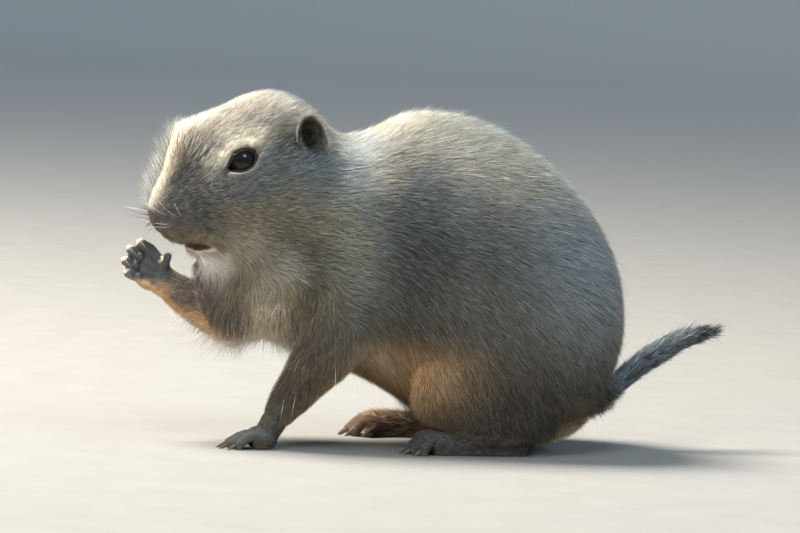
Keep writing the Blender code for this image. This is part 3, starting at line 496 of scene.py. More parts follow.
def relaxed(points, faces, weight, rounds, back=-0.54):
    """Each point goes part of the way to the mean of its neighbours and then back a little, so
    that bumps even out and nothing shrinks; with back at 0, valleys fill too. Weight holds 0 to 1
    for each point."""
    edges = edges_of(faces)
    near = np.concatenate([edges, edges[:, ::-1]])
    count = np.bincount(near[:, 0], minlength=len(points))[:, None]
    for turn in range(rounds * 2):
        beside = points[near[:, 1]]
        sums = [np.bincount(near[:, 0], weights=beside[:, axis], minlength=len(points)) for axis in range(3)]
        mean = np.column_stack(sums)
        step = 0.52 if turn % 2 == 0 else back
        points = points + (mean / np.maximum(count, 1) - points) * (step * weight)[:, None]
    return points


def largest_part(points, faces):
    """Only the faces that hang together with most others: each point takes the lowest number
    among its neighbours until nothing changes."""
    label = np.arange(len(points))
    edges = edges_of(faces)
    while True:
        low = np.minimum(label[edges[:, 0]], label[edges[:, 1]])
        new = label.copy()
        np.minimum.at(new, edges[:, 0], low)
        np.minimum.at(new, edges[:, 1], low)
        new = new[new]
        if (new == label).all():
            break
        label = new
    main = np.bincount(label[faces[:, 0]]).argmax()
    faces = faces[label[faces[:, 0]] == main]
    kept, index = np.unique(faces, return_inverse=True)
    return points[kept], index.reshape(-1, 3)


def joined(parts):
    """One pair of arrays from several pairs of points and faces."""
    count = np.cumsum([0] + [len(points) for points, _ in parts])
    return np.vstack([p for p, _ in parts]), np.vstack([f + n for (_, f), n in zip(parts, count)])


def grid_faces(rows, columns):
    """Triangles of a grid of points whose columns close into a ring."""
    i, j = np.meshgrid(np.arange(rows - 1), np.arange(columns), indexing="ij")
    a = (i * columns + j).ravel()
    b = (i * columns + (j + 1) % columns).ravel()
    halves = (a, b, b + columns), (a, b + columns, a + columns)
    return np.concatenate([np.column_stack(half) for half in halves])


def outward(points, faces):
    """The faces, turned round if they enclose a negative volume."""
    a, b, c = (points[faces[:, k]] for k in range(3))
    return faces if (np.cross(a, b) * c).sum() > 0 else faces[:, ::-1]


def lathe(rings):
    """A closed surface from rings of points, the first and last of which end in a point each."""
    rows, columns = rings.shape[:2]
    points = np.vstack([rings.reshape(-1, 3), rings[0].mean(axis=0), rings[-1].mean(axis=0)])
    faces = grid_faces(rows, columns)
    turn = np.arange(columns)
    after = (turn + 1) % columns
    last = (rows - 1) * columns
    first_cap = np.column_stack([after, turn, np.full(columns, rows * columns)])
    last_cap = np.column_stack([turn + last, after + last, np.full(columns, rows * columns + 1)])
    faces = np.concatenate([faces, first_cap, last_cap])
    return points, outward(points, faces)


def spline(rows, steps):
    """Points on a smooth curve through all rows, with steps of them to each span."""
    p = np.asarray(rows, float)
    q = np.vstack([2 * p[0] - p[1], p, 2 * p[-1] - p[-2]])
    t = np.linspace(0, 1, steps, endpoint=False)[:, None]
    spans = []
    for a, b, c, d in zip(q, q[1:], q[2:], q[3:]):
        bend = (2 * a - 5 * b + 4 * c - d) * t**2 + (3 * b - a - 3 * c + d) * t**3
        spans.append(0.5 * (2 * b + (c - a) * t + bend))
    return np.vstack([*spans, p[-1:]])


def tube(rows, steps=8, columns=22, upright=(0, 0, 1)):
    """Rings across a curve through rows of x, y, z, half width and half height, with round ends:
    past each end the rings shrink by sqrt(1 - q^2) while they go on by q times their radius."""
    table = spline(rows, steps)
    run = unit(np.gradient(table[:, :3], axis=0))
    ends = []
    for row, way in ((table[0], -run[0]), (table[-1], run[-1])):
        q = np.array((0.4, 0.7, 0.9, 0.98))
        cap = np.tile(row, (4, 1))
        cap[:, :3] += way * (q * row[3:].mean())[:, None]
        cap[:, 3:] *= np.sqrt(1 - q**2)[:, None]
        ends.append(cap)
    table = np.vstack([ends[0][::-1], table, ends[1]])
    run = np.vstack([np.tile(run[0], (4, 1)), run, np.tile(run[-1], (4, 1))])
    across = unit(np.cross(run, upright))
    up = np.cross(across, run)
    turn = np.linspace(0, 2 * np.pi, columns, endpoint=False)
    rings = (
        table[:, None, :3]
        + across[:, None] * (np.cos(turn)[None, :, None] * table[:, None, 3:4])
        + up[:, None] * (np.sin(turn)[None, :, None] * table[:, None, 4:5])
    )
    return lathe(rings)


def ball(centre, radii, pitch=0.0):
    """An ellipsoid turned about y by the pitch in degrees: rings of cos and sin of two angles."""
    tilt = np.linspace(0.06, np.pi - 0.06, 20)
    turn = np.linspace(0, 2 * np.pi, 32, endpoint=False)
    wide = np.sin(tilt)[:, None]
    rows = (wide * np.cos(turn), wide * np.sin(turn), np.cos(tilt)[:, None] + 0 * turn)
    rings = np.stack(rows, axis=2) * radii
    lean = np.array(Euler((0, math.radians(pitch), 0)).to_matrix())
    return lathe(rings @ lean.T + np.array(centre))


def digit(base, tip, raised, radii, upright=(0, 0, 1)):
    """A toe or finger: a tube from base to tip over a knuckle raised half way."""
    base, tip = np.array(base, float), np.array(tip, float)
    middle = (base + tip) / 2 + np.array(raised)
    rows = [(*(spot - HOME), r, r) for spot, r in zip((base, middle, tip), radii)]
    return tube(rows, 8, 20, upright)


def limb(rows):
    """A tube through rows that count from where the tables of the solids do."""
    return tube([np.array(row) - (*HOME, 0, 0) for row in rows])


def paws():
    """Palms, soles, toes, fingers and pads, from the same values as the solids."""
    floor = HOME[2]
    forms = [limb(LEFT_WRIST), ball((-72.4, -25, 4.4), (6.6, 6.7, 5.1))]
    forms.append(digit((-68, -20.5, floor + 4), (-72.5, -17.2, floor + 2.2), (0, 0, 0.6), (2.4, 2.1, 1.9)))
    for yaw, y, reach in ((10, -22.2, 9.5), (2, -24.6, 10.8), (-6, -27.0, 10.4), (-17, -29.2, 8.6)):
        turn = math.radians(yaw)
        tip = (-72 - reach * math.cos(turn), y + reach * math.sin(turn), floor + 2.2)
        forms.append(digit((-71, y, floor + 4.6), tip, (0, 0, 1.6), (2.7, 2.1, 2.05)))

    forms.append(limb(RIGHT_WRIST))
    forms.append(ball((-112.9, 5.9, 66.2), (7.9, 4.3, 7.9), 30))
    forms.append(digit((-106, 4.5, 71.5), (-105.4, 0.4, 75.6), (0, 0, 0.4), (2.3, 2.0, 1.7), (1, 0, 0.2)))
    for finger in FINGERS:
        rows = [(*spot, reach, reach) for spot, reach in zip(finger, (2.8, 2.5, 2.1))]
        forms.append(tube(rows, 8, 20, (0.45, 0, -0.9)))
    finger_pads = ((-116.6, 2.2, 75.2, 1.9), (-118.4, 2.0, 71.2, 2.0), (-117.0, 2.2, 66.9, 1.9))
    palm_pads = ((-107.4, 2.4, 72.0, 2.4), (-109.6, 2.6, 64.2, 2.6))
    for *middle, reach in finger_pads + palm_pads:
        forms.append(ball(np.array(middle) - HOME, (reach, 1.5, reach)))

    for side, heel, toes in ((-1, 33.0, -11.5), (1, 24.0, -21.5)):
        span, y = heel - toes, 34.0 * side
        rows = (
            (heel, y - 0.5 * side, floor + 4.6, 5.0, 5.2),
            (heel - span * 0.3, y, floor + 4.4, 5.4, 5.2),
            (heel - span * 0.55, y + 0.4 * side, floor + 5.0, 6.4, 6.2),
            (heel - span * 0.76, y + 0.8 * side, floor + 5.0, 7.2, 5.8),
        )
        forms.append(limb(rows))
        start = heel - span * 0.76
        inner = (start + 1, y - 5.2 * side, floor + 4.4), (toes + 6.5, y - 8.6 * side, floor + 2.3)
        forms.append(digit(*inner, (0, 0, 1.2), (2.6, 2.2, 2.0)))
        for offset, fan, back in ((-3.6, -0.12, 1.6), (-0.8, -0.03, 0), (2.2, 0.07, 0.6), (5.0, 0.22, 3.4)):
            tip = (toes + back, y + (offset + 10 * fan) * side, floor + 2.5)
            forms.append(digit((start, y + offset * side, floor + 5.6), tip, (0, 0, 2.6), (3.0, 2.5, 2.35)))
    return forms


def eye_frame(side):
    """The eye's middle, its outward axis, and the long and short axes of its opening.

    The long axis points to the nose and dips by the slant."""
    mirror = np.array((1, side, 1))
    axis = EYE_AXIS * mirror
    ahead = unit(np.cross((0, 0, 1), axis)) * side
    up = np.cross(axis, ahead) * side
    cos, sin = math.cos(EYE_SLANT), math.sin(EYE_SLANT)
    return EYE * mirror, axis, ahead * cos + up * sin, up * cos - ahead * sin


def eye_opening(turn):
    """Outline of the opening: an oval, narrower in front, whose front corner is drawn out."""
    ahead = np.maximum(np.cos(turn), 0)
    along = EYE_OPENING[0] * np.cos(turn) + 1.7 * ahead**6
    tall = np.where(np.sin(turn) > 0, 0.93, 1.05) * EYE_OPENING[1]
    return np.column_stack([along, tall * np.sin(turn) * (1 - 0.3 * ahead**2) + 0.1])


def eye_places(points, side):
    """(a, b, c, gap) for each point: along and across the opening, outwards, and how far it lies
    outside the opening's outline on the ray from its middle."""
    middle, axis, ahead, up = eye_frame(side)
    away = points - middle
    a, b, c = away @ ahead, away @ up, away @ axis
    outline = eye_opening(np.linspace(-np.pi, np.pi, 181))
    bearing = np.unwrap(np.arctan2(outline[:, 1], outline[:, 0]))
    reach = np.interp(np.arctan2(b, a), bearing, np.linalg.norm(outline, axis=1), period=2 * np.pi)
    return a, b, c, np.hypot(a, b) - reach


def ear_turn(side):
    """The turn from the ear's own axes to the animal's: tilted, swung ahead and rolled."""
    return np.array(Euler([math.radians(v) for v in (-18 * side, -16, 8 * side)]).to_matrix())


def ear_surface(side):
    """A cupped ear: a profile from the middle of its bowl over the rim to its back, carried
    round an oval. Its rim stands higher behind and above, and is notched below."""
    turn = np.linspace(0, 2 * np.pi, 64, endpoint=False)
    bowl = ((0.08, -4.3), (0.36, -4.1), (0.58, -3.4), (0.74, -2.0), (0.84, -0.2))
    edge = ((0.90, 1.3), (0.95, 2.1), (1.0, 2.35), (1.05, 2.1), (1.09, 1.3))
    back = ((1.10, 0.0), (1.05, -1.8), (0.86, -3.8), (0.52, -5.4), (0.12, -6.0))
    reach, height = np.array(bowl + edge + back).T
    lift = 0.9 * ease(-np.cos(turn), -0.2, 0.9) + 0.5 * ease(np.sin(turn), 0.2, 1)
    lift -= 2.2 * ease(-np.sin(turn), 0.45, 1)
    stands = ease(height, -2.5, 1.5)
    fore = EAR_RADII[0] * np.cos(turn) * (1 - 0.12 * np.sin(turn))
    rise = EAR_RADII[1] * np.sin(turn)
    out = side * (height[:, None] + stands[:, None] * lift)
    local = np.stack([reach[:, None] * fore, out, reach[:, None] * rise], axis=2)
    return lathe(local @ ear_turn(side).T + EAR * (1, side, 1) + (0, EAR_OUT * side, 0))


def ear_frame(points, side, out=0.0):
    """(places on the ear's own axes, share of the way from its middle to its rim) of each point."""
    local = (points - EAR * (1, side, 1) - (0, out * side, 0)) @ ear_turn(side)
    return local, np.hypot(local[:, 0] / EAR_RADII[0], local[:, 2] / EAR_RADII[1])


def ear_places(points, side):
    """(hollow, below): 1 inside the bowl of the ear and 0 elsewhere, and 0 to 1 towards its lower end."""
    local, share = ear_frame(points, side, EAR_OUT)
    middle = np.interp(share, (0, 0.5, 0.8, 0.92, 1.0), (-5.1, -4.5, -2.6, -0.5, 2.0))
    out = local[:, 1] * side
    return (out > middle) * (out < 4) * ease(share, 1.0, 0.86), ease(local[:, 2] / EAR_RADII[1], -0.15, -0.6)


def hair_share(points, normals):
    """1 where the coat grows and 0 where none does: by the lids, in the mouth, in the nostrils and
    on the soles. On the nose, the palm of the raised hand and in the ears a little grows."""
    share = np.ones(len(points))
    both = on_one_side(points)
    for side in (-1, 1):
        a, b, c, gap = eye_places(points, side)
        bare = 0.55 + 0.9 * ease(a, 2.0, 5.0) + 0.5 * ease(b, -0.5, -2.5)
        here = (c > -1) & (np.abs(points[:, 1] - EYE[1] * side) < 12)
        share *= np.where(here, ease(gap, bare, bare + 0.4), 1)
        hollow, below = ear_places(points, side)
        share *= 1 - hollow * (0.93 - 0.5 * below)
    share *= around(both, *NOSTRIL, 0.9, 1.2)
    share *= 0.25 + 0.75 * around(points, (-115.6, 0, 86.8), (3.4, 4.4, 3.6), 0.9, 1.2)
    share *= around(both, *MOUTH, 1.0, 1.3)
    palm = around(points, (-116, 0, 69), (10, 6, 9.5), 1.1, 0.9)
    share *= 1 - 0.95 * palm * ease(normals[:, 1], -0.15, -0.6)
    share *= np.where((points[:, 2] < 1.2) & (normals[:, 2] < -0.3), 0, 1)
    return share


def put_piece(name, points, faces, material, values=None, unwrap=None):
    """A smooth mesh object from arrays in millimetres, riding on the part's one body. Values
    holds point attributes, and unwrap a UV for each point."""
    mesh = bpy.data.meshes.new(name)
    mesh.vertices.add(len(points))
    mesh.vertices.foreach_set("co", (np.asarray(points) * MM).astype(np.float32).ravel())
    mesh.loops.add(len(faces) * 3)
    mesh.loops.foreach_set("vertex_index", np.asarray(faces, np.int32).ravel())
    mesh.polygons.add(len(faces))
    mesh.polygons.foreach_set("loop_start", np.arange(0, len(faces) * 3, 3, dtype=np.int32))
    mesh.update(calc_edges=True)
    mesh.polygons.foreach_set("use_smooth", np.full(len(faces), True))
    for key, value in (values or {}).items():
        kind, field = ("FLOAT", "value") if value.ndim == 1 else ("FLOAT_COLOR", "color")
        if value.ndim == 2:
            value = np.column_stack([value, np.ones(len(value))])
        mesh.attributes.new(key, kind, "POINT").data.foreach_set(field, value.astype(np.float32).ravel())
    if unwrap is not None:
        layer = mesh.uv_layers.new(name=UNWRAP)
        layer.data.foreach_set("uv", unwrap[np.asarray(faces).ravel()].astype(np.float32).ravel())
    mesh.materials.append(material)
    obj = bpy.data.objects.new(name, mesh)
    bpy.context.scene.collection.objects.link(obj)
    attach(obj, "root")
    return obj


def paint(colour, times=1.0):
    """Red, green, blue and alpha of a colour, lightened by a number."""
    return (*(np.array(colour) * times), 1)


class Term:
    """A shader socket that can be added, multiplied and compared like a number."""

    def __init__(self, shader, socket):
        self.shader, self.socket = shader, socket

    def sum(self, operation, *others):
        return self.shader.node("ShaderNodeMath", {"operation": operation}, [self, *others])

    def __add__(self, other):
        return self.sum("ADD", other)

    def __sub__(self, other):
        return self.sum("SUBTRACT", other)

    def __mul__(self, other):
        return self.sum("MULTIPLY", other)

    def __truediv__(self, other):
        return self.sum("DIVIDE", other)

    def __pow__(self, other):
        return self.sum("POWER", other)

    def __rsub__(self, other):
        return self.shader.node("ShaderNodeMath", {"operation": "SUBTRACT"}, [other, self])

    def __gt__(self, other):
        return self.sum("GREATER_THAN", other)

    __radd__, __rmul__ = __add__, __mul__

    def step(self, low, high):
        """0 below low and 1 above high, smoothly between."""
        smooth = {"interpolation_type": "SMOOTHSTEP"}
        return self.shader.node("ShaderNodeMapRange", smooth, {0: self, 1: low, 2: high})


class Shader:
    """The node tree of one material, filled by calls."""

    def __init__(self, name, **constants):
        self.material = bpy.data.materials.new(name)
        self.material.use_nodes = True
        self.tree = self.material.node_tree
        self.skin = self.tree.nodes["Principled BSDF"]
        for socket, value in constants.items():
            self.skin.inputs[socket.replace("_", " ")].default_value = value

    def node(self, kind, settings=None, inputs=(), output=0):
        """Adds a node: its settings first, then the values or links of its sockets."""
        node = self.tree.nodes.new(kind)
        for key, value in (settings or {}).items():
            setattr(node, key, value)
        pairs = inputs.items() if isinstance(inputs, dict) else enumerate(inputs)
        for key, value in pairs:
            self.join(node.inputs[key], value)
        return Term(self, node.outputs[output])

    def join(self, socket, value):
        if isinstance(value, Term):
            self.tree.links.new(value.socket, socket)
        else:
            socket.default_value = value

    def place(self):
        return self.node("ShaderNodeTexCoord", output="Object")

    def attribute(self, name, output="Fac"):
        return self.node("ShaderNodeAttribute", {"attribute_name": name}, output=output)

    def noise(self, vector, scale, detail=2.0):
        sockets = {"Vector": vector, "Scale": scale, "Detail": detail}
        return self.node("ShaderNodeTexNoise", {}, sockets, "Fac")

    def mix(self, share, one, other):
        """A colour part of the way from one to the other."""
        return self.node("ShaderNodeMix", {"data_type": "RGBA"}, {0: share, 6: one, 7: other}, 2)

    def shade(self, colour, share):
        """The colour, darkened or lightened by a number."""
        grey = self.node("ShaderNodeCombineColor", {}, [share, share, share])
        mixing = {"data_type": "RGBA", "blend_type": "MULTIPLY"}
        return self.node("ShaderNodeMix", mixing, {0: 1.0, 6: colour, 7: grey}, 2)

    def bump(self, height, strength, distance):
        sockets = {"Height": height, "Strength": strength, "Distance": distance}
        return self.node("ShaderNodeBump", {}, sockets)

    def finish(self, **sockets):
        for socket, value in sockets.items():
            self.join(self.skin.inputs[socket.replace("_", " ")], value)
        return self.material


def colour_setting(name, description, default):
    """A setting that holds red, green and blue from 0 to 1."""
    return bpy.props.FloatVectorProperty(
        name=name, description=description, default=default, size=3, min=0, max=1, subtype="COLOR"
    )


class PRAIRIE_PG_colours(bpy.types.PropertyGroup):
    """Colours of the coat and the bare parts, some of which also stand for painted light and shade."""

    grizzle: colour_setting("Grizzle", "Ground colour of the flanks", (0.205, 0.192, 0.16))
    # Partly the back's own buff, partly painted top light where the skin faces up.
    straw_and_top_light: colour_setting("Straw", "Back, crown and nape", (0.62, 0.49, 0.36))
    # The low flank's own brown, and painted shade under the jaw, in the fold above the chest and on the near
    # foreleg.
    umber_and_shade: colour_setting("Umber", "Low flank and thigh", (0.125, 0.10, 0.07))
    tan: colour_setting("Tan", "Cheeks", (0.25, 0.186, 0.112))
    # Painted bluish sheen of sky light on the rump, the sides of the neck and the top of the tail.
    sky_sheen: colour_setting("Ash", "Rump, sides of the neck and top of the tail", (0.33, 0.345, 0.345))
    grey: colour_setting("Grey", "Sides of the muzzle and the head", (0.145, 0.14, 0.124))
    # Mostly the fur's own colour. On the brow, the top of the muzzle and of the back, the belly by the
    # foreleg and the fingertips it also paints light.
    cream_and_painted_light: colour_setting("Cream", "Brow, throat and chest", (0.84, 0.73, 0.55))
    # Partly the pale fur of the throat and chest, partly painted highlight and backlight on the nape, the
    # crown, the throat and the lower edge of the chest.
    white_and_highlight: colour_setting("White", "Throat and lower edge of the chest", (0.88, 0.86, 0.80))
    # Partly the belly's own buff, partly painted warm light bounced up from the floor under the belly, the
    # chest, the raised arm and the hand.
    rust_and_bounce_light: colour_setting("Rust", "Belly and lower edge of the raised arm", (0.80, 0.50, 0.24))
    russet: colour_setting("Russet", "Far hind foot", (0.17, 0.105, 0.068))
    mauve: colour_setting("Mauve", "Raised forearm", (0.19, 0.15, 0.13))
    mane: colour_setting("Mane", "Sides of the neck down to the foreleg", (0.36, 0.325, 0.235))
    # On the near feet it is partly painted shade.
    slate: colour_setting("Slate", "Feet, palm and underside of the tail", (0.085, 0.09, 0.088))
    # The muzzle's own streak and flecks, and painted shade on the upper flank and behind the neck.
    dusk_and_shade: colour_setting("Dusk", "Streak and flecks on the muzzle", (0.06, 0.058, 0.055))
    # The tail's own black tip, and painted shade in the hollow of the ear, the cupped palm, between the
    # fingers and low on the near hind foot.
    night_and_shade: colour_setting("Night", "Tip of the tail and hollow of the ear", (0.04, 0.042, 0.045))
    nose: colour_setting("Nose", "Bare tip of the nose", (0.08, 0.064, 0.045))
    lip: colour_setting("Lip", "Lower lip", (0.46, 0.33, 0.26))
    # Mostly painted shade inside the mouth and the nostrils.
    mouth: colour_setting("Mouth", "Inside of the mouth and nostrils", (0.045, 0.022, 0.016))
    lid: colour_setting("Lids", "Rims of the lids", (0.02, 0.017, 0.015))
    iris: colour_setting("Iris", "Iris", (0.014, 0.009, 0.006))
    horn: colour_setting("Horn", "Claws", (0.07, 0.056, 0.045))


class PRAIRIE_PG_sizes(bpy.types.PropertyGroup):
    """Sizes of the skin, the coat and the stage."""

    grain: bpy.props.FloatProperty(
        name="Skin grain", description="Size of the skin's faces", default=0.0013, unit="LENGTH"
    )
    length: bpy.props.FloatProperty(name="Length", description="Tuft length, times that of life", default=1.0)
    width: bpy.props.FloatProperty(name="Width", description="Tuft width, times the usual one", default=1.0)
    number: bpy.props.FloatProperty(name="Number", description="Tufts, times the usual number", default=1.0)
    seed: bpy.props.IntProperty(name="Seed", description="Start of the random numbers", default=11)
    key_light: bpy.props.FloatProperty(
        name="Key light", description="Power of the light above and behind", default=120.0, unit="POWER"
    )
    fill_light: bpy.props.FloatProperty(
        name="Fill light", description="Power of the light above the camera", default=11.0, unit="POWER"
    )
    low_light: bpy.props.FloatProperty(
        name="Low light", description="Power of the light near the floor", default=13.0, unit="POWER"
    )


def colours():
    """The colours of the settings by name, as arrays."""
    group = bpy.context.scene.prairie_colours
    return {name: np.array(getattr(group, name)) for name in PRAIRIE_PG_colours.__annotations__}


def fur_material(name, base=0.66, tip=1.2):
    """Hair colour: the marking's own, darker at the root, paler at the tip, and varied from one
    tuft to the next, so that the coat looks grizzled."""
    shader = Shader(name, Specular_IOR_Level=0.25)
    ground = shader.attribute("marking", "Color")
    along, tone = shader.attribute("along"), shader.attribute("tone")
    patchy = shader.noise(shader.place(), 90.0, 3.0)
    light = (base + (tip - base) * along.step(0.0, 0.9)) * (0.70 + 0.60 * tone) * (0.80 + 0.40 * patchy)
    colour = shader.shade(ground, light)
    pale = along.step(0.35, 0.8) * tone.step(0.64, 0.88) * 0.40
    colour = shader.mix(pale, colour, (0.74, 0.71, 0.64, 1))
    dark = along.step(0.3, 0.85) * (1 - tone).step(0.68, 0.86) * 0.62
    colour = shader.mix(dark, colour, (0.045, 0.04, 0.035, 1))
    return shader.finish(Base_Color=colour, Roughness=0.52 + 0.2 * (1 - along))


def skin_material():
    """Skin: under the fur the same markings, deeper, with a short nap as bump; where it is bare,
    the full colour, finely creased and a little damp."""
    shader = Shader("skin", Specular_IOR_Level=0.3)
    ground, bare = shader.attribute("marking", "Color"), shader.attribute("bare")
    place = shader.place()
    nap = shader.noise(place, 1500.0, 2.0)
    patchy = shader.noise(place, 160.0, 3.0)
    colour = shader.shade(ground, (0.45 + 0.45 * bare) + 0.35 * patchy + 0.2 * nap)
    rough = 0.75 - 0.27 * bare
    fuzz = shader.bump(nap, 0.6, 0.0003)
    return shader.finish(Base_Color=colour, Roughness=rough, Normal=fuzz)


class PRAIRIE_OT_skin(bpy.types.Operator):
    """Makes one skin from the solids of flesh, drawn in by the depth of the coat"""

    bl_idname = "prairie.skin"
    bl_label = "Skin"

    def execute(self, context):
        grain = context.scene.prairie_sizes.grain
        swell, finer = 0.3, 0.42  # closes the gaps between solids; the size of faces on paws and ears
        parts = [arrays_of(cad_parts[name]) for name in FLESH if name not in PAWS]
        parts = [(points + swell * point_normals(points, faces), faces) for points, faces in parts]
        body = self.fused(parts + [tube(TAIL, 6)], grain)
        fine = self.fused(paws() + [ear_surface(side) for side in (-1, 1)], grain * finer)
        points, faces = largest_part(*self.united(body, fine))
        points, faces = self.finer_face(points, faces)
        points = self.smoothed(points, faces)
        points = self.drawn_in(points, faces)
        points = self.folded(points, faces)
        points[:, 2] = np.maximum(points[:, 2], SOLE)
        normals = point_normals(points, faces)
        bare = 1 - hair_share(points, normals)
        values = {"marking": markings(points, normals, colours()), "bare": bare}
        skin = put_piece("skin", points, faces, skin_material(), values=values)
        self.unwrapped(skin)
        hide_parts(*FLESH, "left_ear", "right_ear", "tail")
        return {"FINISHED"}

    def object_of(self, points, faces):
        """A plain object for the modifiers to work on."""
        mesh = bpy.data.meshes.new("form")
        mesh.from_pydata(points * MM, [], faces.tolist())
        obj = bpy.data.objects.new("form", mesh)
        bpy.context.scene.collection.objects.link(obj)
        return obj

    def settled(self, obj):
        """The object's shape with its modifiers, as arrays; the object goes."""
        graph = bpy.context.evaluated_depsgraph_get()
        mesh = bpy.data.meshes.new_from_object(obj.evaluated_get(graph))
        obj.modifiers.clear()
        obj.data = mesh
        made = arrays_of(obj)
        bpy.data.objects.remove(obj)
        return made

    def fused(self, parts, grain):
        """All parts as one closed surface of even faces."""
        obj = self.object_of(*joined(parts))
        fuse = obj.modifiers.new("fuse", "REMESH")
        fuse.mode, fuse.voxel_size = "VOXEL", grain
        return self.settled(obj)

    def united(self, body, fine):
        """Both surfaces as one, with what lies inside the other left out."""
        obj, tool = self.object_of(*body), self.object_of(*fine)
        join = obj.modifiers.new("join", "BOOLEAN")
        join.operation, join.solver, join.object = "UNION", "MANIFOLD", tool
        made = self.settled(obj)
        bpy.data.objects.remove(tool)
        if len(made[1]) < len(body[1]):
            raise RuntimeError("the paws didn't join the body")
        return made

    def finer_face(self, points, faces):
        """Edges round the eyes, the nose and the mouth are halved."""
        places = [((EYE + EYE_AXIS * 5) * (1, side, 1), 10.5) for side in (-1, 1)]
        places += [((-111, 0, 86), 9.5), ((-98, 8, 78), 8.5), ((-98, -8, 78), 8.5)]
        near = np.zeros(len(points), bool)
        for middle, reach in places:
            near |= np.linalg.norm(points - middle, axis=1) < reach
        obj = self.object_of(points, faces)
        first, second = read(obj.data.edges, "vertices", 2, np.int32).T
        apart = np.linalg.norm(points[first] - points[second], axis=1)
        wanted = np.flatnonzero(near[first] & near[second] & (apart > 0.7 * self.typical_edge(points, faces)))
        build = bmesh.new()
        build.from_mesh(obj.data)
        build.edges.ensure_lookup_table()
        bmesh.ops.subdivide_edges(build, edges=[build.edges[i] for i in wanted], cuts=1, use_grid_fill=True)
        bmesh.ops.triangulate(build, faces=build.faces)
        build.to_mesh(obj.data)
        build.free()
        made = arrays_of(obj)
        bpy.data.objects.remove(obj)
        return made

    def typical_edge(self, points, faces):
        """The median length of the edges."""
        return np.median(np.linalg.norm(points[faces[:, 0]] - points[faces[:, 1]], axis=1))

    def smoothed(self, points, faces):
        """Facets evened out: much on the trunk, little on toes, fingers, nose and mouth."""
        length = coat_at(points)[0]
        weight = ease(length, 1.0, 5.0) * 0.8 + 0.2
        points = relaxed(points, faces, weight, 16)
        points = self.slim_tail_root(points)
        for middle, radii, rounds in SMOOTHER:
            off_tail = ease(along_path(points, TAIL)[0], 4.6, 7.0)
            weight = around(points, middle, radii, 1.3, 0.6) * off_tail
            points = relaxed(points, faces, weight, rounds, 0.0)
        return relaxed(points, faces, np.full(len(points), 0.6), 3)

    def slim_tail_root(self, points):
        """Behind the rump, what is thicker than the tail goes in towards its middle line, onto a
        cone that narrows to the tail."""
        path = np.array(TAIL)
        distance, gone, _ = along_path(points, path)
        lengths = np.concatenate([[0], np.cumsum(np.linalg.norm(np.diff(path[:, :3], axis=0), axis=1))])
        row = np.column_stack([np.interp(gone, lengths / lengths[-1], path[:, k]) for k in range(5)])
        thick = row[:, 3:].mean(axis=1) + 0.4 + 4.5 * ease(points[:, 0], 75, 62)
        share = ease(points[:, 0], 60, 66) * ease(distance, 11.5, 8.5) * (distance > thick)
        aim = row[:, :3] + (points - row[:, :3]) * (thick / np.maximum(distance, 1e-6))[:, None]
        return points + (aim - points) * share[:, None]

    def drawn_in(self, points, faces):
        """Inwards by the rise of the tufts, but not where a sole stands on the floor."""
        normals = point_normals(points, faces)
        depth = coat_at(points)[2] * ease(points[:, 2], 0.3, 2.0)
        distance = along_path(points, TAIL)[0]
        depth = depth * (1 - ease(distance, 12, 8) * ease(points[:, 0], 66, 74))
        off_tail = ease(distance, 5.0, 9.0)
        for middle, radii, more in DEEPER:
            depth += more * bell(points, middle, radii) * off_tail * ease(points[:, 2], 0.3, 6.0)
        return relaxed(points - normals * depth[:, None], faces, np.full(len(points), 0.5), 3)

    def folded(self, points, faces):
        """Sockets under the lids, brows, nostrils, ears, the cleft under the nose, the mouth and
        its lips. Each is a push along the normals, or along the eye's or the ear's own axis, by a
        depth that eases off with the distance from its middle."""
        points = points.copy()
        normals = point_normals(points, faces)
        for side in (-1, 1):
            axis = eye_frame(side)[1]
            a, b, c, gap = eye_places(points, side)
            near = (c > 0.5) & (np.abs(a) < 14) & (np.abs(b) < 12)
            brow = ease(gap, 0.6, 2.2) * ease(gap, 5.5, 2.8) * ease(b, 0.5, 3.5) * near
            under = ease(gap, 0.5, 1.6) * ease(gap, 4.2, 2.2) * ease(-b, 1.0, 3.5) * near
            points += normals * (0.8 * brow + 0.35 * under)[:, None]
            reach = np.hypot(a, b)
            floor = np.sqrt(np.maximum(5.0**2 - reach**2, 0))
            sink = np.minimum(np.maximum(c - floor, 0), 1.6 + 12 * ease(reach, 5.8, 4.4))
            points -= axis * (sink * ease(gap, 0.25, -0.15) * near)[:, None]
            local = points * (1, side, 1)
            nostril = radii_from(local, *NOSTRIL)
            flare = ease(nostril, 0.9, 1.25) * ease(nostril, 2.0, 1.4)
            points += normals * (0.35 * flare - 1.7 * ease(nostril, 1.2, 0.5))[:, None]
            hollow, below = ear_places(points, side)
            deep = ease(ear_frame(points, side)[1], 0.9, 0.55) * (1 - 0.8 * below)
            points -= (hollow * deep)[:, None] * np.array((0.6, 4.6 * side, 0.8))
            mouth = radii_from(local, *MOUTH)
            lips = ease(mouth, 1.0, 1.35) * ease(mouth, 2.3, 1.5) * (points[:, 0] < -90)
            points += normals * (0.45 * lips - 2.2 * ease(mouth, 1.15, 0.55))[:, None]
        cleft = around(points, (-112.5, 0, 81.8), (5.0, 0.5, 3.6), 1.5, 0.4)
        points -= normals * (0.7 * cleft)[:, None]
        return points

    def unwrapped(self, skin):
        """The skin's own surface, cut into flat patches that don't overlap."""
        bpy.context.view_layer.objects.active = skin
        skin.select_set(True)
        skin.data.uv_layers.new(name=UNWRAP)
        bpy.ops.object.mode_set(mode="EDIT")
        bpy.ops.mesh.select_all(action="SELECT")
        bpy.ops.uv.smart_project(angle_limit=1.3, island_margin=0.004)
        bpy.ops.object.mode_set(mode="OBJECT")
        skin.select_set(False)


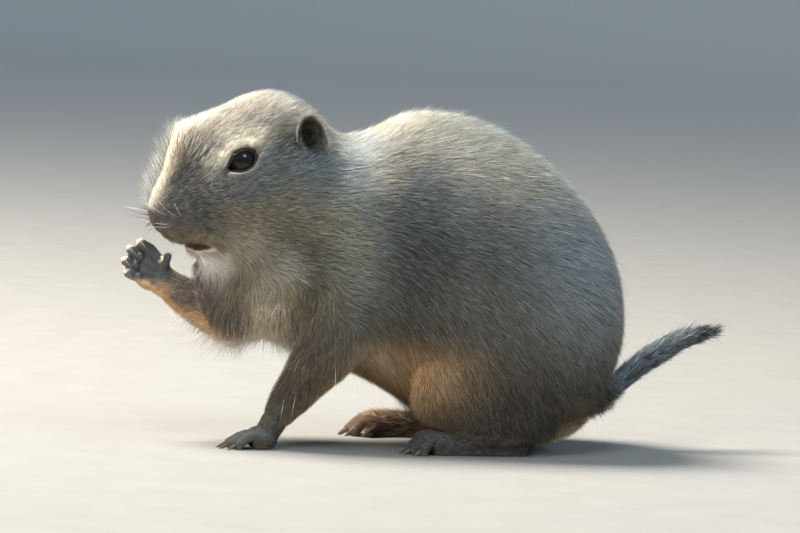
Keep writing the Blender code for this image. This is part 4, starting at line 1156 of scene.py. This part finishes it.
# Rings of a lid, from the skin over its rim and back under it: how far it lies outside the opening,
# how high over the skin, and how high over the eyeball at least. Where that is below 0, the ring lies
# 1.2 lower over the skin.
LID_RINGS = (
    *((2.1, -1.0, 0), (1.6, -0.25, 0), (1.1, 0.2, 0), (0.65, 0.4, 0.25), (0.25, 0.4, 0.3)),
    *((-0.02, 0.2, 0.15), (-0.2, 0.0, -0.25), (-0.1, -1.2, -1.2), (0.6, -2.2, -2), (1.6, -2.2, -2)),
)


class PRAIRIE_OT_eyes(bpy.types.Operator):
    """Makes the eyeballs and the lids round them"""

    bl_idname = "prairie.eyes"
    bl_label = "Eyes and lids"

    def execute(self, context):
        skin_points, _ = arrays_of(bpy.data.objects["skin"])
        wet, rim = self.eye_material(), self.lid_material()
        for side, word in ((-1, "left"), (1, "right")):
            points, faces, bearing = self.eyeball(side)
            eyeball = put_piece(f"{word}_eyeball", points, faces, wet, values={"bearing": bearing})
            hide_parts(f"{word}_eye")
            lids = put_piece(f"{word}_lids", *self.lids(side, skin_points), rim)
        return {"FINISHED"}

    def eyeball(self, side):
        """A sphere whose front bulges by a fifth of a millimetre, and how far each point is from
        the middle of the pupil: the angle between them, with 1 for a right angle."""
        middle, axis, ahead, up = eye_frame(side)
        tilt = np.linspace(0.02, np.pi - 0.02, 60)
        turn = np.linspace(0, 2 * np.pi, 64, endpoint=False)
        bulge = 0.2
        radius = EYE_RADIUS - bulge + bulge * ease(tilt, 1.0, 0.2)
        out, wide = np.cos(tilt) * radius, np.sin(tilt) * radius
        rings = (
            middle
            + axis * out[:, None, None]
            + ahead * (wide[:, None] * np.cos(turn))[..., None]
            + up * (wide[:, None] * np.sin(turn))[..., None]
        )
        points, faces = lathe(rings)
        away = unit(points - middle) @ axis
        return points, faces, np.degrees(np.arccos(np.clip(away, -1, 1))) / 90

    def lids(self, side, skin_points):
        """A rounded lip round the opening. Each ring follows the outline at its own distance, and
        stands at its own height over the skin beside it, or just outside the eyeball."""
        middle, axis, ahead, up = eye_frame(side)
        a, b, c, gap = eye_places(skin_points, side)
        near = (gap > 0.7) & (gap < 4.0) & (c > 0.5) & (np.abs(a) < 12) & (np.abs(b) < 10)
        rest, level = np.column_stack([a, b])[near], c[near]
        flat = eye_opening(np.linspace(0, 2 * np.pi, 96, endpoint=False))
        run = np.roll(flat, -1, axis=0) - np.roll(flat, 1, axis=0)
        away = unit(np.column_stack([run[:, 1], -run[:, 0]]))
        rings = []
        for wide, high, seat in LID_RINGS:
            spot = flat + away * wide
            apart = np.linalg.norm(spot[:, None] - rest[None], axis=2)
            weight = 1 / (apart + 0.3) ** 4
            lies = (weight @ level) / weight.sum(axis=1) + high
            ball_at = np.sqrt(np.maximum((EYE_RADIUS - 0.1) ** 2 - (spot**2).sum(axis=1), 0))
            lies = np.maximum(lies if seat >= 0 else lies - 1.2, ball_at + seat)
            rings.append(middle + spot[:, :1] * ahead + spot[:, 1:] * up + lies[:, None] * axis)
        rings = np.array(rings)
        rows, columns = rings.shape[:2]
        points = rings.reshape(-1, 3)
        faces = grid_faces(rows + 1, columns) % (rows * columns)
        return points, outward(points, faces)

    def eye_material(self):
        """A dark brown iris, streaked and darker at its edge, round a black pupil, all wet."""
        wet = {"Coat_Weight": 0.22, "Coat_Roughness": 0.03}
        shader = Shader("eye", Roughness=0.10, Specular_IOR_Level=0.25, **wet)
        shade = colours()["iris"]
        bearing = shader.attribute("bearing")
        grain = shader.noise(shader.place(), 1100.0, 3.0)
        colour = shader.mix(grain, paint(shade, 0.3), paint(shade, 1.3))
        colour = shader.mix(bearing.step(0.24, 0.31), (0.004, 0.004, 0.005, 1), colour)
        colour = shader.mix(bearing.step(0.55, 0.68), colour, (0.006, 0.005, 0.005, 1))
        return shader.finish(Base_Color=colour)

    def lid_material(self):
        """Bare dark skin, finely creased and a little damp."""
        shader = Shader("lids", Roughness=0.45, Specular_IOR_Level=0.4)
        shade = colours()["lid"]
        crease = shader.noise(shader.place(), 1400.0, 3.0)
        colour = shader.mix(crease, paint(shade, 0.6), paint(shade, 2.0))
        return shader.finish(Base_Color=colour, Normal=shader.bump(crease, 0.5, 0.0002))


class PRAIRIE_OT_claws(bpy.types.Operator):
    """Makes the claws slim and smooth, bends those of the raised hand and gives them horn"""

    bl_idname = "prairie.claws"
    bl_label = "Claws"

    def execute(self, context):
        horn = self.horn()
        for word in ("left_fore", "right_fore", "left_hind", "right_hind"):
            names = [f"{word}_claw_{number}" for number in range(1, 6)]
            if word == "right_fore":
                bent = [self.bent_claw(THUMB_TIP, 0.45), *(self.bent_claw(row[-1], 0.85) for row in FINGERS)]
                points, faces = joined(bent)
            else:
                points, faces = joined([self.slimmed(*arrays_of(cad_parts[name])) for name in names])
                points = relaxed(points, faces, np.full(len(points), 0.35), 1)
            claws = put_piece(f"{word}_claws", points, faces, horn)
            round_off = claws.modifiers.new("round", "SUBSURF")
            round_off.levels = round_off.render_levels = 2
            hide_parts(*names)
        return {"FINISHED"}

    def slimmed(self, points, faces):
        """The claw drawn in towards the line through it: its distance from that line times 0.7."""
        middle = points.mean(axis=0)
        line = np.linalg.svd(points - middle, full_matrices=False)[2][0]
        along = ((points - middle) @ line)[:, None] * line
        return middle + along + 0.7 * (points - middle - along), faces

    def bent_claw(self, tip, size):
        """A claw of the raised hand: a tube from the fingertip out and back over the palm, whose
        radius falls from 0.95 to 0.2, all times the size."""
        path = (
            (0.5, 0.4, -0.3, 0.9),
            (-0.5, -1.5, 0.1, 0.95),
            (0.0, -3.0, -0.5, 0.7),
            (1.1, -4.1, -1.6, 0.45),
            (2.2, -4.6, -2.8, 0.2),
        )
        rows = [(*(tip + size * np.array(step[:3])), size * step[3], size * step[3]) for step in path]
        return tube(rows, 4, 10, (0.3, 0.3, 1))

    def horn(self):
        """Dark horn, streaked along and paler in spots."""
        shader = Shader("horn", Roughness=0.35, Specular_IOR_Level=0.45)
        shade = colours()["horn"]
        streak = shader.noise(shader.place(), 700.0, 3.0)
        colour = shader.mix(streak, paint(shade, 0.5), paint(shade, 2.6))
        rough = 0.3 + 0.2 * streak
        ridges = shader.bump(streak, 0.3, 0.0002)
        return shader.finish(Base_Color=colour, Roughness=rough, Normal=ridges)


def sown(ground, number, rng):
    """(triangle, place) of roots spread over the skin, number of them to a square millimetre.

    The faces are laid end to end by the number of roots each should hold, and a root is taken
    at every whole step, moved at random by up to one step."""
    a, b, c = (ground.points[ground.faces[:, k]] for k in range(3))
    area = np.linalg.norm(np.cross(b - a, c - a), axis=1) / 2
    share = np.cumsum(area * number)
    count = int(share[-1])
    steps = (np.arange(count) + rng.random(count)) * share[-1] / count
    face = np.searchsorted(share, steps).clip(0, len(ground.faces) - 1)
    one, two = rng.random((2, count))
    over = one + two > 1
    one, two = np.where(over, 1 - one, one), np.where(over, 1 - two, two)
    corner = np.column_stack([1 - one - two, one, two])
    return face, corner


def tufts(roots, normals, ways, length, width, rise, rings=(0.0, 0.5), sunk=0.35, bend=0.5):
    """Closed, pointed three-sided spikes. At a share s of its length a tuft's middle is
    root + way * length * s + normal * rise * s^bend, and its width tapers to the tip. The ring
    at its root lies sunk under the skin.

    Returns points, faces, the share s of each point and the number of its tuft."""
    count = len(roots)
    across = np.cross(normals, ways)
    corners = np.array(((1.0, -0.15), (-1.0, -0.15), (0.0, 0.85))) / 2
    levels = []
    for share in rings:
        middle = roots + ways * (length * share)[:, None] + normals * (rise * share**bend)[:, None]
        if share == 0:
            middle = middle - normals * sunk
        wide = width * (0.75 if share == 0 else 1.0 - 0.35 * share)
        for side, up in corners:
            levels.append(middle + across * (wide * side)[:, None] + normals * (wide * up * 0.8)[:, None])
    tip = roots + ways * length[:, None] + normals * rise[:, None]
    levels.append(tip)
    size = len(levels)
    points = np.stack(levels, axis=1).reshape(-1, 3)
    faces = [(0, 2, 1)]
    for k in range(len(rings) - 1):
        low, high = 3 * k, 3 * k + 3
        for i in range(3):
            j = (i + 1) % 3
            faces += [(low + i, low + j, high + j), (low + i, high + j, high + i)]
    last = 3 * (len(rings) - 1)
    faces += [(last + i, last + (i + 1) % 3, size - 1) for i in range(3)]
    faces = np.array(faces)
    one = points[:size]
    if (np.cross(one[faces[:, 0]], one[faces[:, 1]]) * one[faces[:, 2]]).sum() < 0:
        faces = faces[:, ::-1]
    faces = (faces[None] + (np.arange(count) * size)[:, None, None]).reshape(-1, 3)
    share = np.tile(np.append(np.repeat(rings, 3), 1.0), count)
    return points, faces, share, np.repeat(np.arange(count), size)


def put_tufts(name, made, places, colour, tone, material):
    """A piece of tufts with one place on the unwrap, one colour and one tone for each. A tuft's
    patch lies at its place, with the tuft's length up the patch and its three sides across."""
    points, faces, share, tuft = made
    values = {"marking": colour[tuft], "along": share, "tone": tone[tuft]}
    across = np.arange(len(points)) % 3 / 3 - 0.33
    unwrap = places[tuft] + PATCH * np.column_stack([across, share - 0.5])
    return put_piece(name, points, faces, material, values, unwrap)


class PRAIRIE_OT_coat(bpy.types.Operator):
    """Covers the skin with tufts, in pieces from the nose to the tail"""

    bl_idname = "prairie.coat"
    bl_label = "Coat"

    def execute(self, context):
        sizes = context.scene.prairie_sizes
        rng = np.random.default_rng(sizes.seed)
        ground = Ground(bpy.data.objects["skin"])
        number = coat_at(ground.middles)[3] * sizes.number
        number *= hair_share(ground.middles, ground.facing)
        root = Roots(ground, *sown(ground, number, rng))
        material = fur_material("fur")
        order = np.argsort(root.points[:, 0], kind="stable")
        bent = coat_at(root.points)[0] > BENT_FROM
        bands = (("coat", order[~bent[order]], (0.0,), 4), ("coat_long", order[bent[order]], (0.0, 0.5), 10))
        for word, chosen, rings, cost in bands:
            pieces = math.ceil(len(chosen) * cost / PIECE_FACES)
            for index, part in enumerate(np.array_split(chosen, pieces)):
                self.piece(f"{word}_{index + 1}", root.only(part), rings, material, sizes, rng)
        return {"FINISHED"}

    def piece(self, name, root, rings, material, sizes, rng):
        length, width, rise, _, loose = coat_at(root.points)
        count = len(root.points)
        way = lie_of_coat(root.points, root.normals)
        way = self.in_locks(root.points, way, length)
        stray = rng.normal(size=(count, 3)) * (loose * 0.45)[:, None]
        way = unit(way + stray - (stray * root.normals).sum(axis=1)[:, None] * root.normals * 0.7)
        length = length * sizes.length * (0.75 + 0.5 * rng.random(count))
        rise = rise * (0.65 + 0.7 * rng.random(count)) + 0.06 * length
        width = width * sizes.width * (0.8 + 0.4 * rng.random(count))
        made = tufts(root.points, root.normals, way, length, width, rise, rings)
        made[0][:, 2] = np.maximum(made[0][:, 2], HAIR_END)
        marking = markings(root.points, root.normals, colours())
        calm = 0.35 + 0.65 * ease(marking.mean(axis=1), 0.70, 0.50)
        tone = 0.5 + ((rng.random(count) - 0.5) * 0.9 + 0.3 * clumps(root.points)) * calm
        piece = put_tufts(name, made, root.places, marking, np.clip(tone, 0, 1), material)

    def in_locks(self, points, way, length):
        """Tips lean towards the middle of the few tufts around them, which makes small locks."""
        wavy = points + 0.9 * np.sin(points[:, [1, 2, 0]] * 1.3)
        cell = np.floor(wavy / (1.2 + 0.18 * length[:, None])).astype(int)
        _, index = np.unique(cell, axis=0, return_inverse=True)
        index = index.reshape(-1)
        count = np.bincount(index)[:, None]
        mean = np.column_stack([np.bincount(index, weights=points[:, k]) for k in range(3)]) / count
        return unit(way + 0.9 * (mean[index] - points) / length[:, None])


class Ground:
    """The skin as arrays: points, faces, normals and the unwrap of each face's corners, and each
    face's middle and normal."""

    def __init__(self, skin):
        mesh = skin.data
        self.points = read(mesh.vertices, "co", 3).astype(float) / MM
        self.faces = read(mesh.loops, "vertex_index", 1, np.int32).reshape(-1, 3)
        self.normals = point_normals(self.points, self.faces)
        self.places = read(mesh.uv_layers[UNWRAP].data, "uv", 2).reshape(-1, 3, 2)
        self.middles = self.points[self.faces].mean(axis=1)
        self.facing = self.normals[self.faces].mean(axis=1)


class Roots:
    """Places on the skin where tufts stand."""

    def __init__(self, ground, face, corner):
        def blend(values):
            return (values * corner[..., None]).sum(axis=1)

        self.points = blend(ground.points[ground.faces[face]])
        self.normals = unit(blend(ground.normals[ground.faces[face]]))
        self.places = blend(ground.places[face])

    def only(self, chosen):
        """Those of them with these numbers."""
        kept = object.__new__(Roots)
        for name in ("points", "normals", "places"):
            setattr(kept, name, getattr(self, name)[chosen])
        return kept


class PRAIRIE_OT_whiskers(bpy.types.Operator):
    """Sets whiskers on the muzzle, single hairs over the coat and a fringe under the throat"""

    bl_idname = "prairie.whiskers"
    bl_label = "Whiskers and guard hairs"

    def execute(self, context):
        rng = np.random.default_rng(context.scene.prairie_sizes.seed + 1)
        ground = Ground(bpy.data.objects["skin"])
        self.whiskers(ground, rng)
        self.guard_hairs(ground, rng)
        self.fringe(ground, rng)
        return {"FINISHED"}

    def nearest(self, ground, wanted):
        """Numbers of the skin's points nearest to the wanted places."""
        apart = np.linalg.norm(ground.points[None] - wanted[:, None], axis=2)
        return apart.argmin(axis=1)

    def whiskers(self, ground, rng):
        """Rows on each side of the muzzle, which sweep out, forward and down."""
        count = 17  # on each side
        back, row = np.arange(count) % 4, np.arange(count) // 4
        wanted, ways = [], []
        for side in (-1, 1):
            x = -109.5 + 1.5 * back + rng.normal(size=count) * 0.4
            z = 84.5 + 1.6 * row + rng.normal(size=count) * 0.3
            wanted.append(np.column_stack([x, np.full(count, 9.0 * side), z]))
            ahead = np.column_stack([-0.75 + 0.12 * back, np.full(count, 0.55 * side), -0.02 + 0.12 * row])
            ways.append(unit(ahead + rng.normal(size=(count, 3)) * 0.12))
        wanted, ways = np.vstack(wanted), np.vstack(ways)
        index = self.nearest(ground, wanted)
        root, normal = ground.points[index], ground.normals[index]
        normal = unit(normal - (normal * ways).sum(axis=1)[:, None] * ways)
        total = len(root)
        length = 8 + 10 * rng.random(total) ** 2
        width, droop = np.full(total, 0.13), -0.14 * length
        made = tufts(root, normal, ways, length, width, droop, (0.0, 0.25, 0.5, 0.75), 0.3, 2.0)
        colour = np.where(rng.random(total) < 0.6, 0.8, 0.05)[:, None] * np.ones(3)
        places, tone = self.unwrap_at(ground, index), np.full(total, 0.5)
        piece = put_tufts("whiskers", made, places, colour, tone, fur_material("whisker", 1.0, 1.0))

    def unwrap_at(self, ground, index):
        """Place on the skin's unwrap of the points with these numbers."""
        places = np.zeros((len(ground.points), 2))
        places[ground.faces.ravel()] = ground.places.reshape(-1, 2)
        return places[index]

    def guard_hairs(self, ground, rng):
        """Single hairs which stand up steeper than the coat: sparse all over, and more on the top
        of the body, the top of the head and the front of the muzzle."""
        x, _, z = ground.middles.T
        ahead, _, upwards = (ground.facing * (-1, 1, 1)).T
        number = 0.08 * ease(coat_at(ground.middles)[0], 3.5, 6.0) * ease(z, 10, 30)
        number += 0.14 * ease(upwards, -0.1, 0.6) * ease(z, 90, 115)
        number += 0.45 * ease(upwards + ahead, 0.5, 1.1) * ease(z, 92, 99) * ease(x, -40, -60)
        number += 0.7 * ease(ahead, 0.3, 0.8) * ease(x, -102, -106) * ease(z, 84, 88)
        root = Roots(ground, *sown(ground, number, rng))
        count = len(root.points)
        length = coat_at(root.points)[0] * (1.0 + 0.6 * rng.random(count)) + 1.0
        ahead = ease(root.points[:, 0], -102, -112)
        length *= 1 - 0.5 * ease(root.points[:, 0], -58, -80) * (1 - ahead)
        length += 4.0 * ahead * rng.random(count)
        way = unit(lie_of_coat(root.points, root.normals) + np.array((-0.5, 0, 0)) * ahead[:, None])
        rise = length * (0.25 + 0.30 * rng.random(count) + 0.15 * ahead)
        rise *= 1 - 0.7 * ease(np.abs(root.points[:, 1]), 38, 45)
        light = np.where(rng.random(count) < 0.5, 1.6, 0.3)
        self.hairs("guard_hairs", root, way, length, rise, 0.14, light, rng)

    def fringe(self, ground, rng):
        """Fine pale hairs that hang from the throat, the chest and the raised arm."""
        number = np.zeros(len(ground.middles))
        for middle, radii, most in FRINGE:
            number += most * bell(ground.middles, middle, radii)
        number *= ease(ground.facing[:, 2], 0.35, -0.2)
        root = Roots(ground, *sown(ground, number, rng))
        count = len(root.points)
        hang, stray = (0.0, 0, -0.9), rng.normal(size=(count, 3)) * 0.22
        way = unit(lie_of_coat(root.points, root.normals) + hang + stray)
        length = 7 + 7 * rng.random(count)
        # Near white: partly the hairs' own pale colour, partly a painted glow of the light behind them.
        pale, light = (0.82, 0.79, 0.72), np.full(count, 1.0)
        self.hairs("fringe", root, way, length, 0.12 * length, 0.15, light, rng, pale)

    def hairs(self, name, root, way, length, rise, thick, light, rng, colour=None):
        """Bent tufts as thin as one hair, in the coat's colours times light or in one colour."""
        count = len(root.points)
        width = thick * (0.8 + 0.4 * rng.random(count))
        made = tufts(root.points, root.normals, way, length, width, rise, (0.0, 0.5), 0.3, 1.2)
        made[0][:, 2] = np.maximum(made[0][:, 2], HAIR_END)
        shade = np.tile(colour, (count, 1)) if colour else markings(root.points, root.normals, colours())
        shade = np.clip(shade * light[:, None], 0.01, 0.85)
        material = fur_material(name.rstrip("s"), 0.9, 1.1)
        piece = put_tufts(name, made, root.places, shade, np.full(count, 0.5), material)


class PRAIRIE_OT_stage(bpy.types.Operator):
    """Sets a pale floor, soft lights and the camera"""

    bl_idname = "prairie.stage"
    bl_label = "Stage"

    def execute(self, context):
        sizes = context.scene.prairie_sizes
        floor = self.floor()
        key, fill, low = sizes.key_light, sizes.fill_light, sizes.low_light
        self.light("key", (-0.75, 0.50, 1.50), 0.08, 0.8, key, (1.0, 0.97, 0.92))
        self.light("fill", (-0.15, -0.95, 1.45), 0.07, 0.75, fill, (0.74, 0.88, 1.0))
        self.light("side", (1.25, -0.75, 0.8), 0.07, 0.9, fill * 1.5, (0.52, 0.77, 1.0))
        self.light("low", (-0.95, -1.15, 0.48), 0.04, 0.5, low, (1.0, 0.95, 0.88))
        world = bpy.data.worlds.new("studio")
        context.scene.world = world
        world.use_nodes = True
        sky = world.node_tree.nodes["Background"].inputs
        sky["Color"].default_value = (0.66, 0.80, 0.97, 1)
        sky["Strength"].default_value = 0.45
        context.scene.view_settings.view_transform = "Standard"
        self.camera()
        return {"FINISHED"}

    def floor(self):
        """A level disc round the animal whose rim sweeps up into a low wall: a profile of
        distance and height, carried round a circle."""
        level, curve = 4200, 1400  # radius of the level disc, and of the sweep at its rim
        bend = np.linspace(0, np.pi / 2, 10)
        out = np.concatenate([[600, 1600, 3000], level + curve * np.sin(bend), [level + curve]])
        high = np.concatenate([[0, 0, 0], curve * (1 - np.cos(bend)), [2 * curve]])
        turn = np.linspace(0, 2 * np.pi, 96, endpoint=False)
        out, high = out[:, None], high[:, None]
        rings = np.stack([out * np.cos(turn), out * np.sin(turn), high + 0 * turn], axis=2)
        rows, columns = rings.shape[:2]
        points = np.vstack([rings.reshape(-1, 3), (0, 0, 0)])
        index = np.arange(columns)
        middle = np.column_stack([index, (index + 1) % columns, 0 * index + rows * columns])
        faces = np.vstack([grid_faces(rows, columns)[:, ::-1], middle])
        mesh = bpy.data.meshes.new("floor")
        mesh.from_pydata((points * MM).tolist(), [], faces.tolist())
        mesh.polygons.foreach_set("use_smooth", [True] * len(faces))
        shader = Shader("floor", Roughness=0.9, Specular_IOR_Level=0.1)
        speck = shader.noise(shader.place(), 40.0, 4.0)
        colour = shader.mix(speck, (0.20, 0.189, 0.17, 1), (0.24, 0.228, 0.205, 1))
        away = shader.node("ShaderNodeVectorMath", {"operation": "LENGTH"}, [shader.place()], "Value")
        colour = shader.mix(away.step(0.5, 5.0), colour, (0.62, 0.63, 0.62, 1))
        mesh.materials.append(shader.finish(Base_Color=colour))
        floor = bpy.data.objects.new("floor", mesh)
        bpy.context.scene.collection.objects.link(floor)
        return floor

    def light(self, name, place, aim, size, power, colour):
        """A round lamp at a place, turned towards the height it aims at over the middle."""
        lamp = bpy.data.lights.new(name, "AREA")
        lamp.shape, lamp.size, lamp.energy, lamp.color = "DISK", size, power, colour
        obj = bpy.data.objects.new(name, lamp)
        obj.location = place
        obj.rotation_euler = (Vector((0, 0, aim)) - Vector(place)).to_track_quat("-Z", "Y").to_euler()
        obj.visible_glossy = name == "fill"
        obj.visible_camera = False
        bpy.context.scene.collection.objects.link(obj)

    def camera(self):
        """Stands 2.2 m off on the animal's left, a little ahead and above, with a slight roll."""
        turn, rise, roll = math.radians(-13), math.radians(4), math.radians(2.5)
        away, view_width, film = 2.2, 0.320, 36
        back = Vector((math.sin(turn) * math.cos(rise), -math.cos(turn) * math.cos(rise), math.sin(rise)))
        right = Vector((math.cos(turn), math.sin(turn), 0))
        up = back.cross(right)
        right, up = right * math.cos(roll) + up * math.sin(roll), up * math.cos(roll) - right * math.sin(roll)
        aside, higher = -0.008, 0.0742  # from the middle of the floor to that of the picture
        target = right * aside + up * higher - Vector(HOME * MM)
        place = Matrix((right, up, back)).transposed().to_4x4()
        place.translation = target + back * away
        camera = bpy.data.objects.new("camera", bpy.data.cameras.new("camera"))
        camera.data.sensor_width = film
        camera.data.lens = film * away / view_width
        camera.matrix_world = place
        bpy.context.scene.collection.objects.link(camera)
        bpy.context.scene.camera = camera


class PRAIRIE_PT_panel(bpy.types.Panel):
    """The prairie dog's settings and pieces."""

    bl_idname = "PRAIRIE_PT_panel"
    bl_label = "Prairie dog"
    bl_space_type = "VIEW_3D"
    bl_region_type = "UI"
    bl_category = "Prairie dog"

    def draw(self, context):
        for group in (context.scene.prairie_sizes, context.scene.prairie_colours):
            box = self.layout.box()
            for name in type(group).__annotations__:
                box.prop(group, name)
        for operator in OPERATORS:
            self.layout.operator(operator.bl_idname)


OPERATORS = (
    PRAIRIE_OT_skin,
    PRAIRIE_OT_eyes,
    PRAIRIE_OT_claws,
    PRAIRIE_OT_coat,
    PRAIRIE_OT_whiskers,
    PRAIRIE_OT_stage,
)
CLASSES = (PRAIRIE_PG_colours, PRAIRIE_PG_sizes, *OPERATORS, PRAIRIE_PT_panel)


def register():
    for kind in CLASSES:
        bpy.utils.register_class(kind)
    bpy.types.Scene.prairie_colours = bpy.props.PointerProperty(type=PRAIRIE_PG_colours)
    bpy.types.Scene.prairie_sizes = bpy.props.PointerProperty(type=PRAIRIE_PG_sizes)


def unregister():
    del bpy.types.Scene.prairie_sizes
    del bpy.types.Scene.prairie_colours
    for kind in reversed(CLASSES):
        bpy.utils.unregister_class(kind)


def main():
    register()
    bpy.ops.prairie.skin()
    bpy.ops.prairie.eyes()
    bpy.ops.prairie.claws()
    bpy.ops.prairie.coat()
    bpy.ops.prairie.whiskers()
    bpy.ops.prairie.stage()
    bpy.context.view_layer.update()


if __name__ == "__main__":
    main()
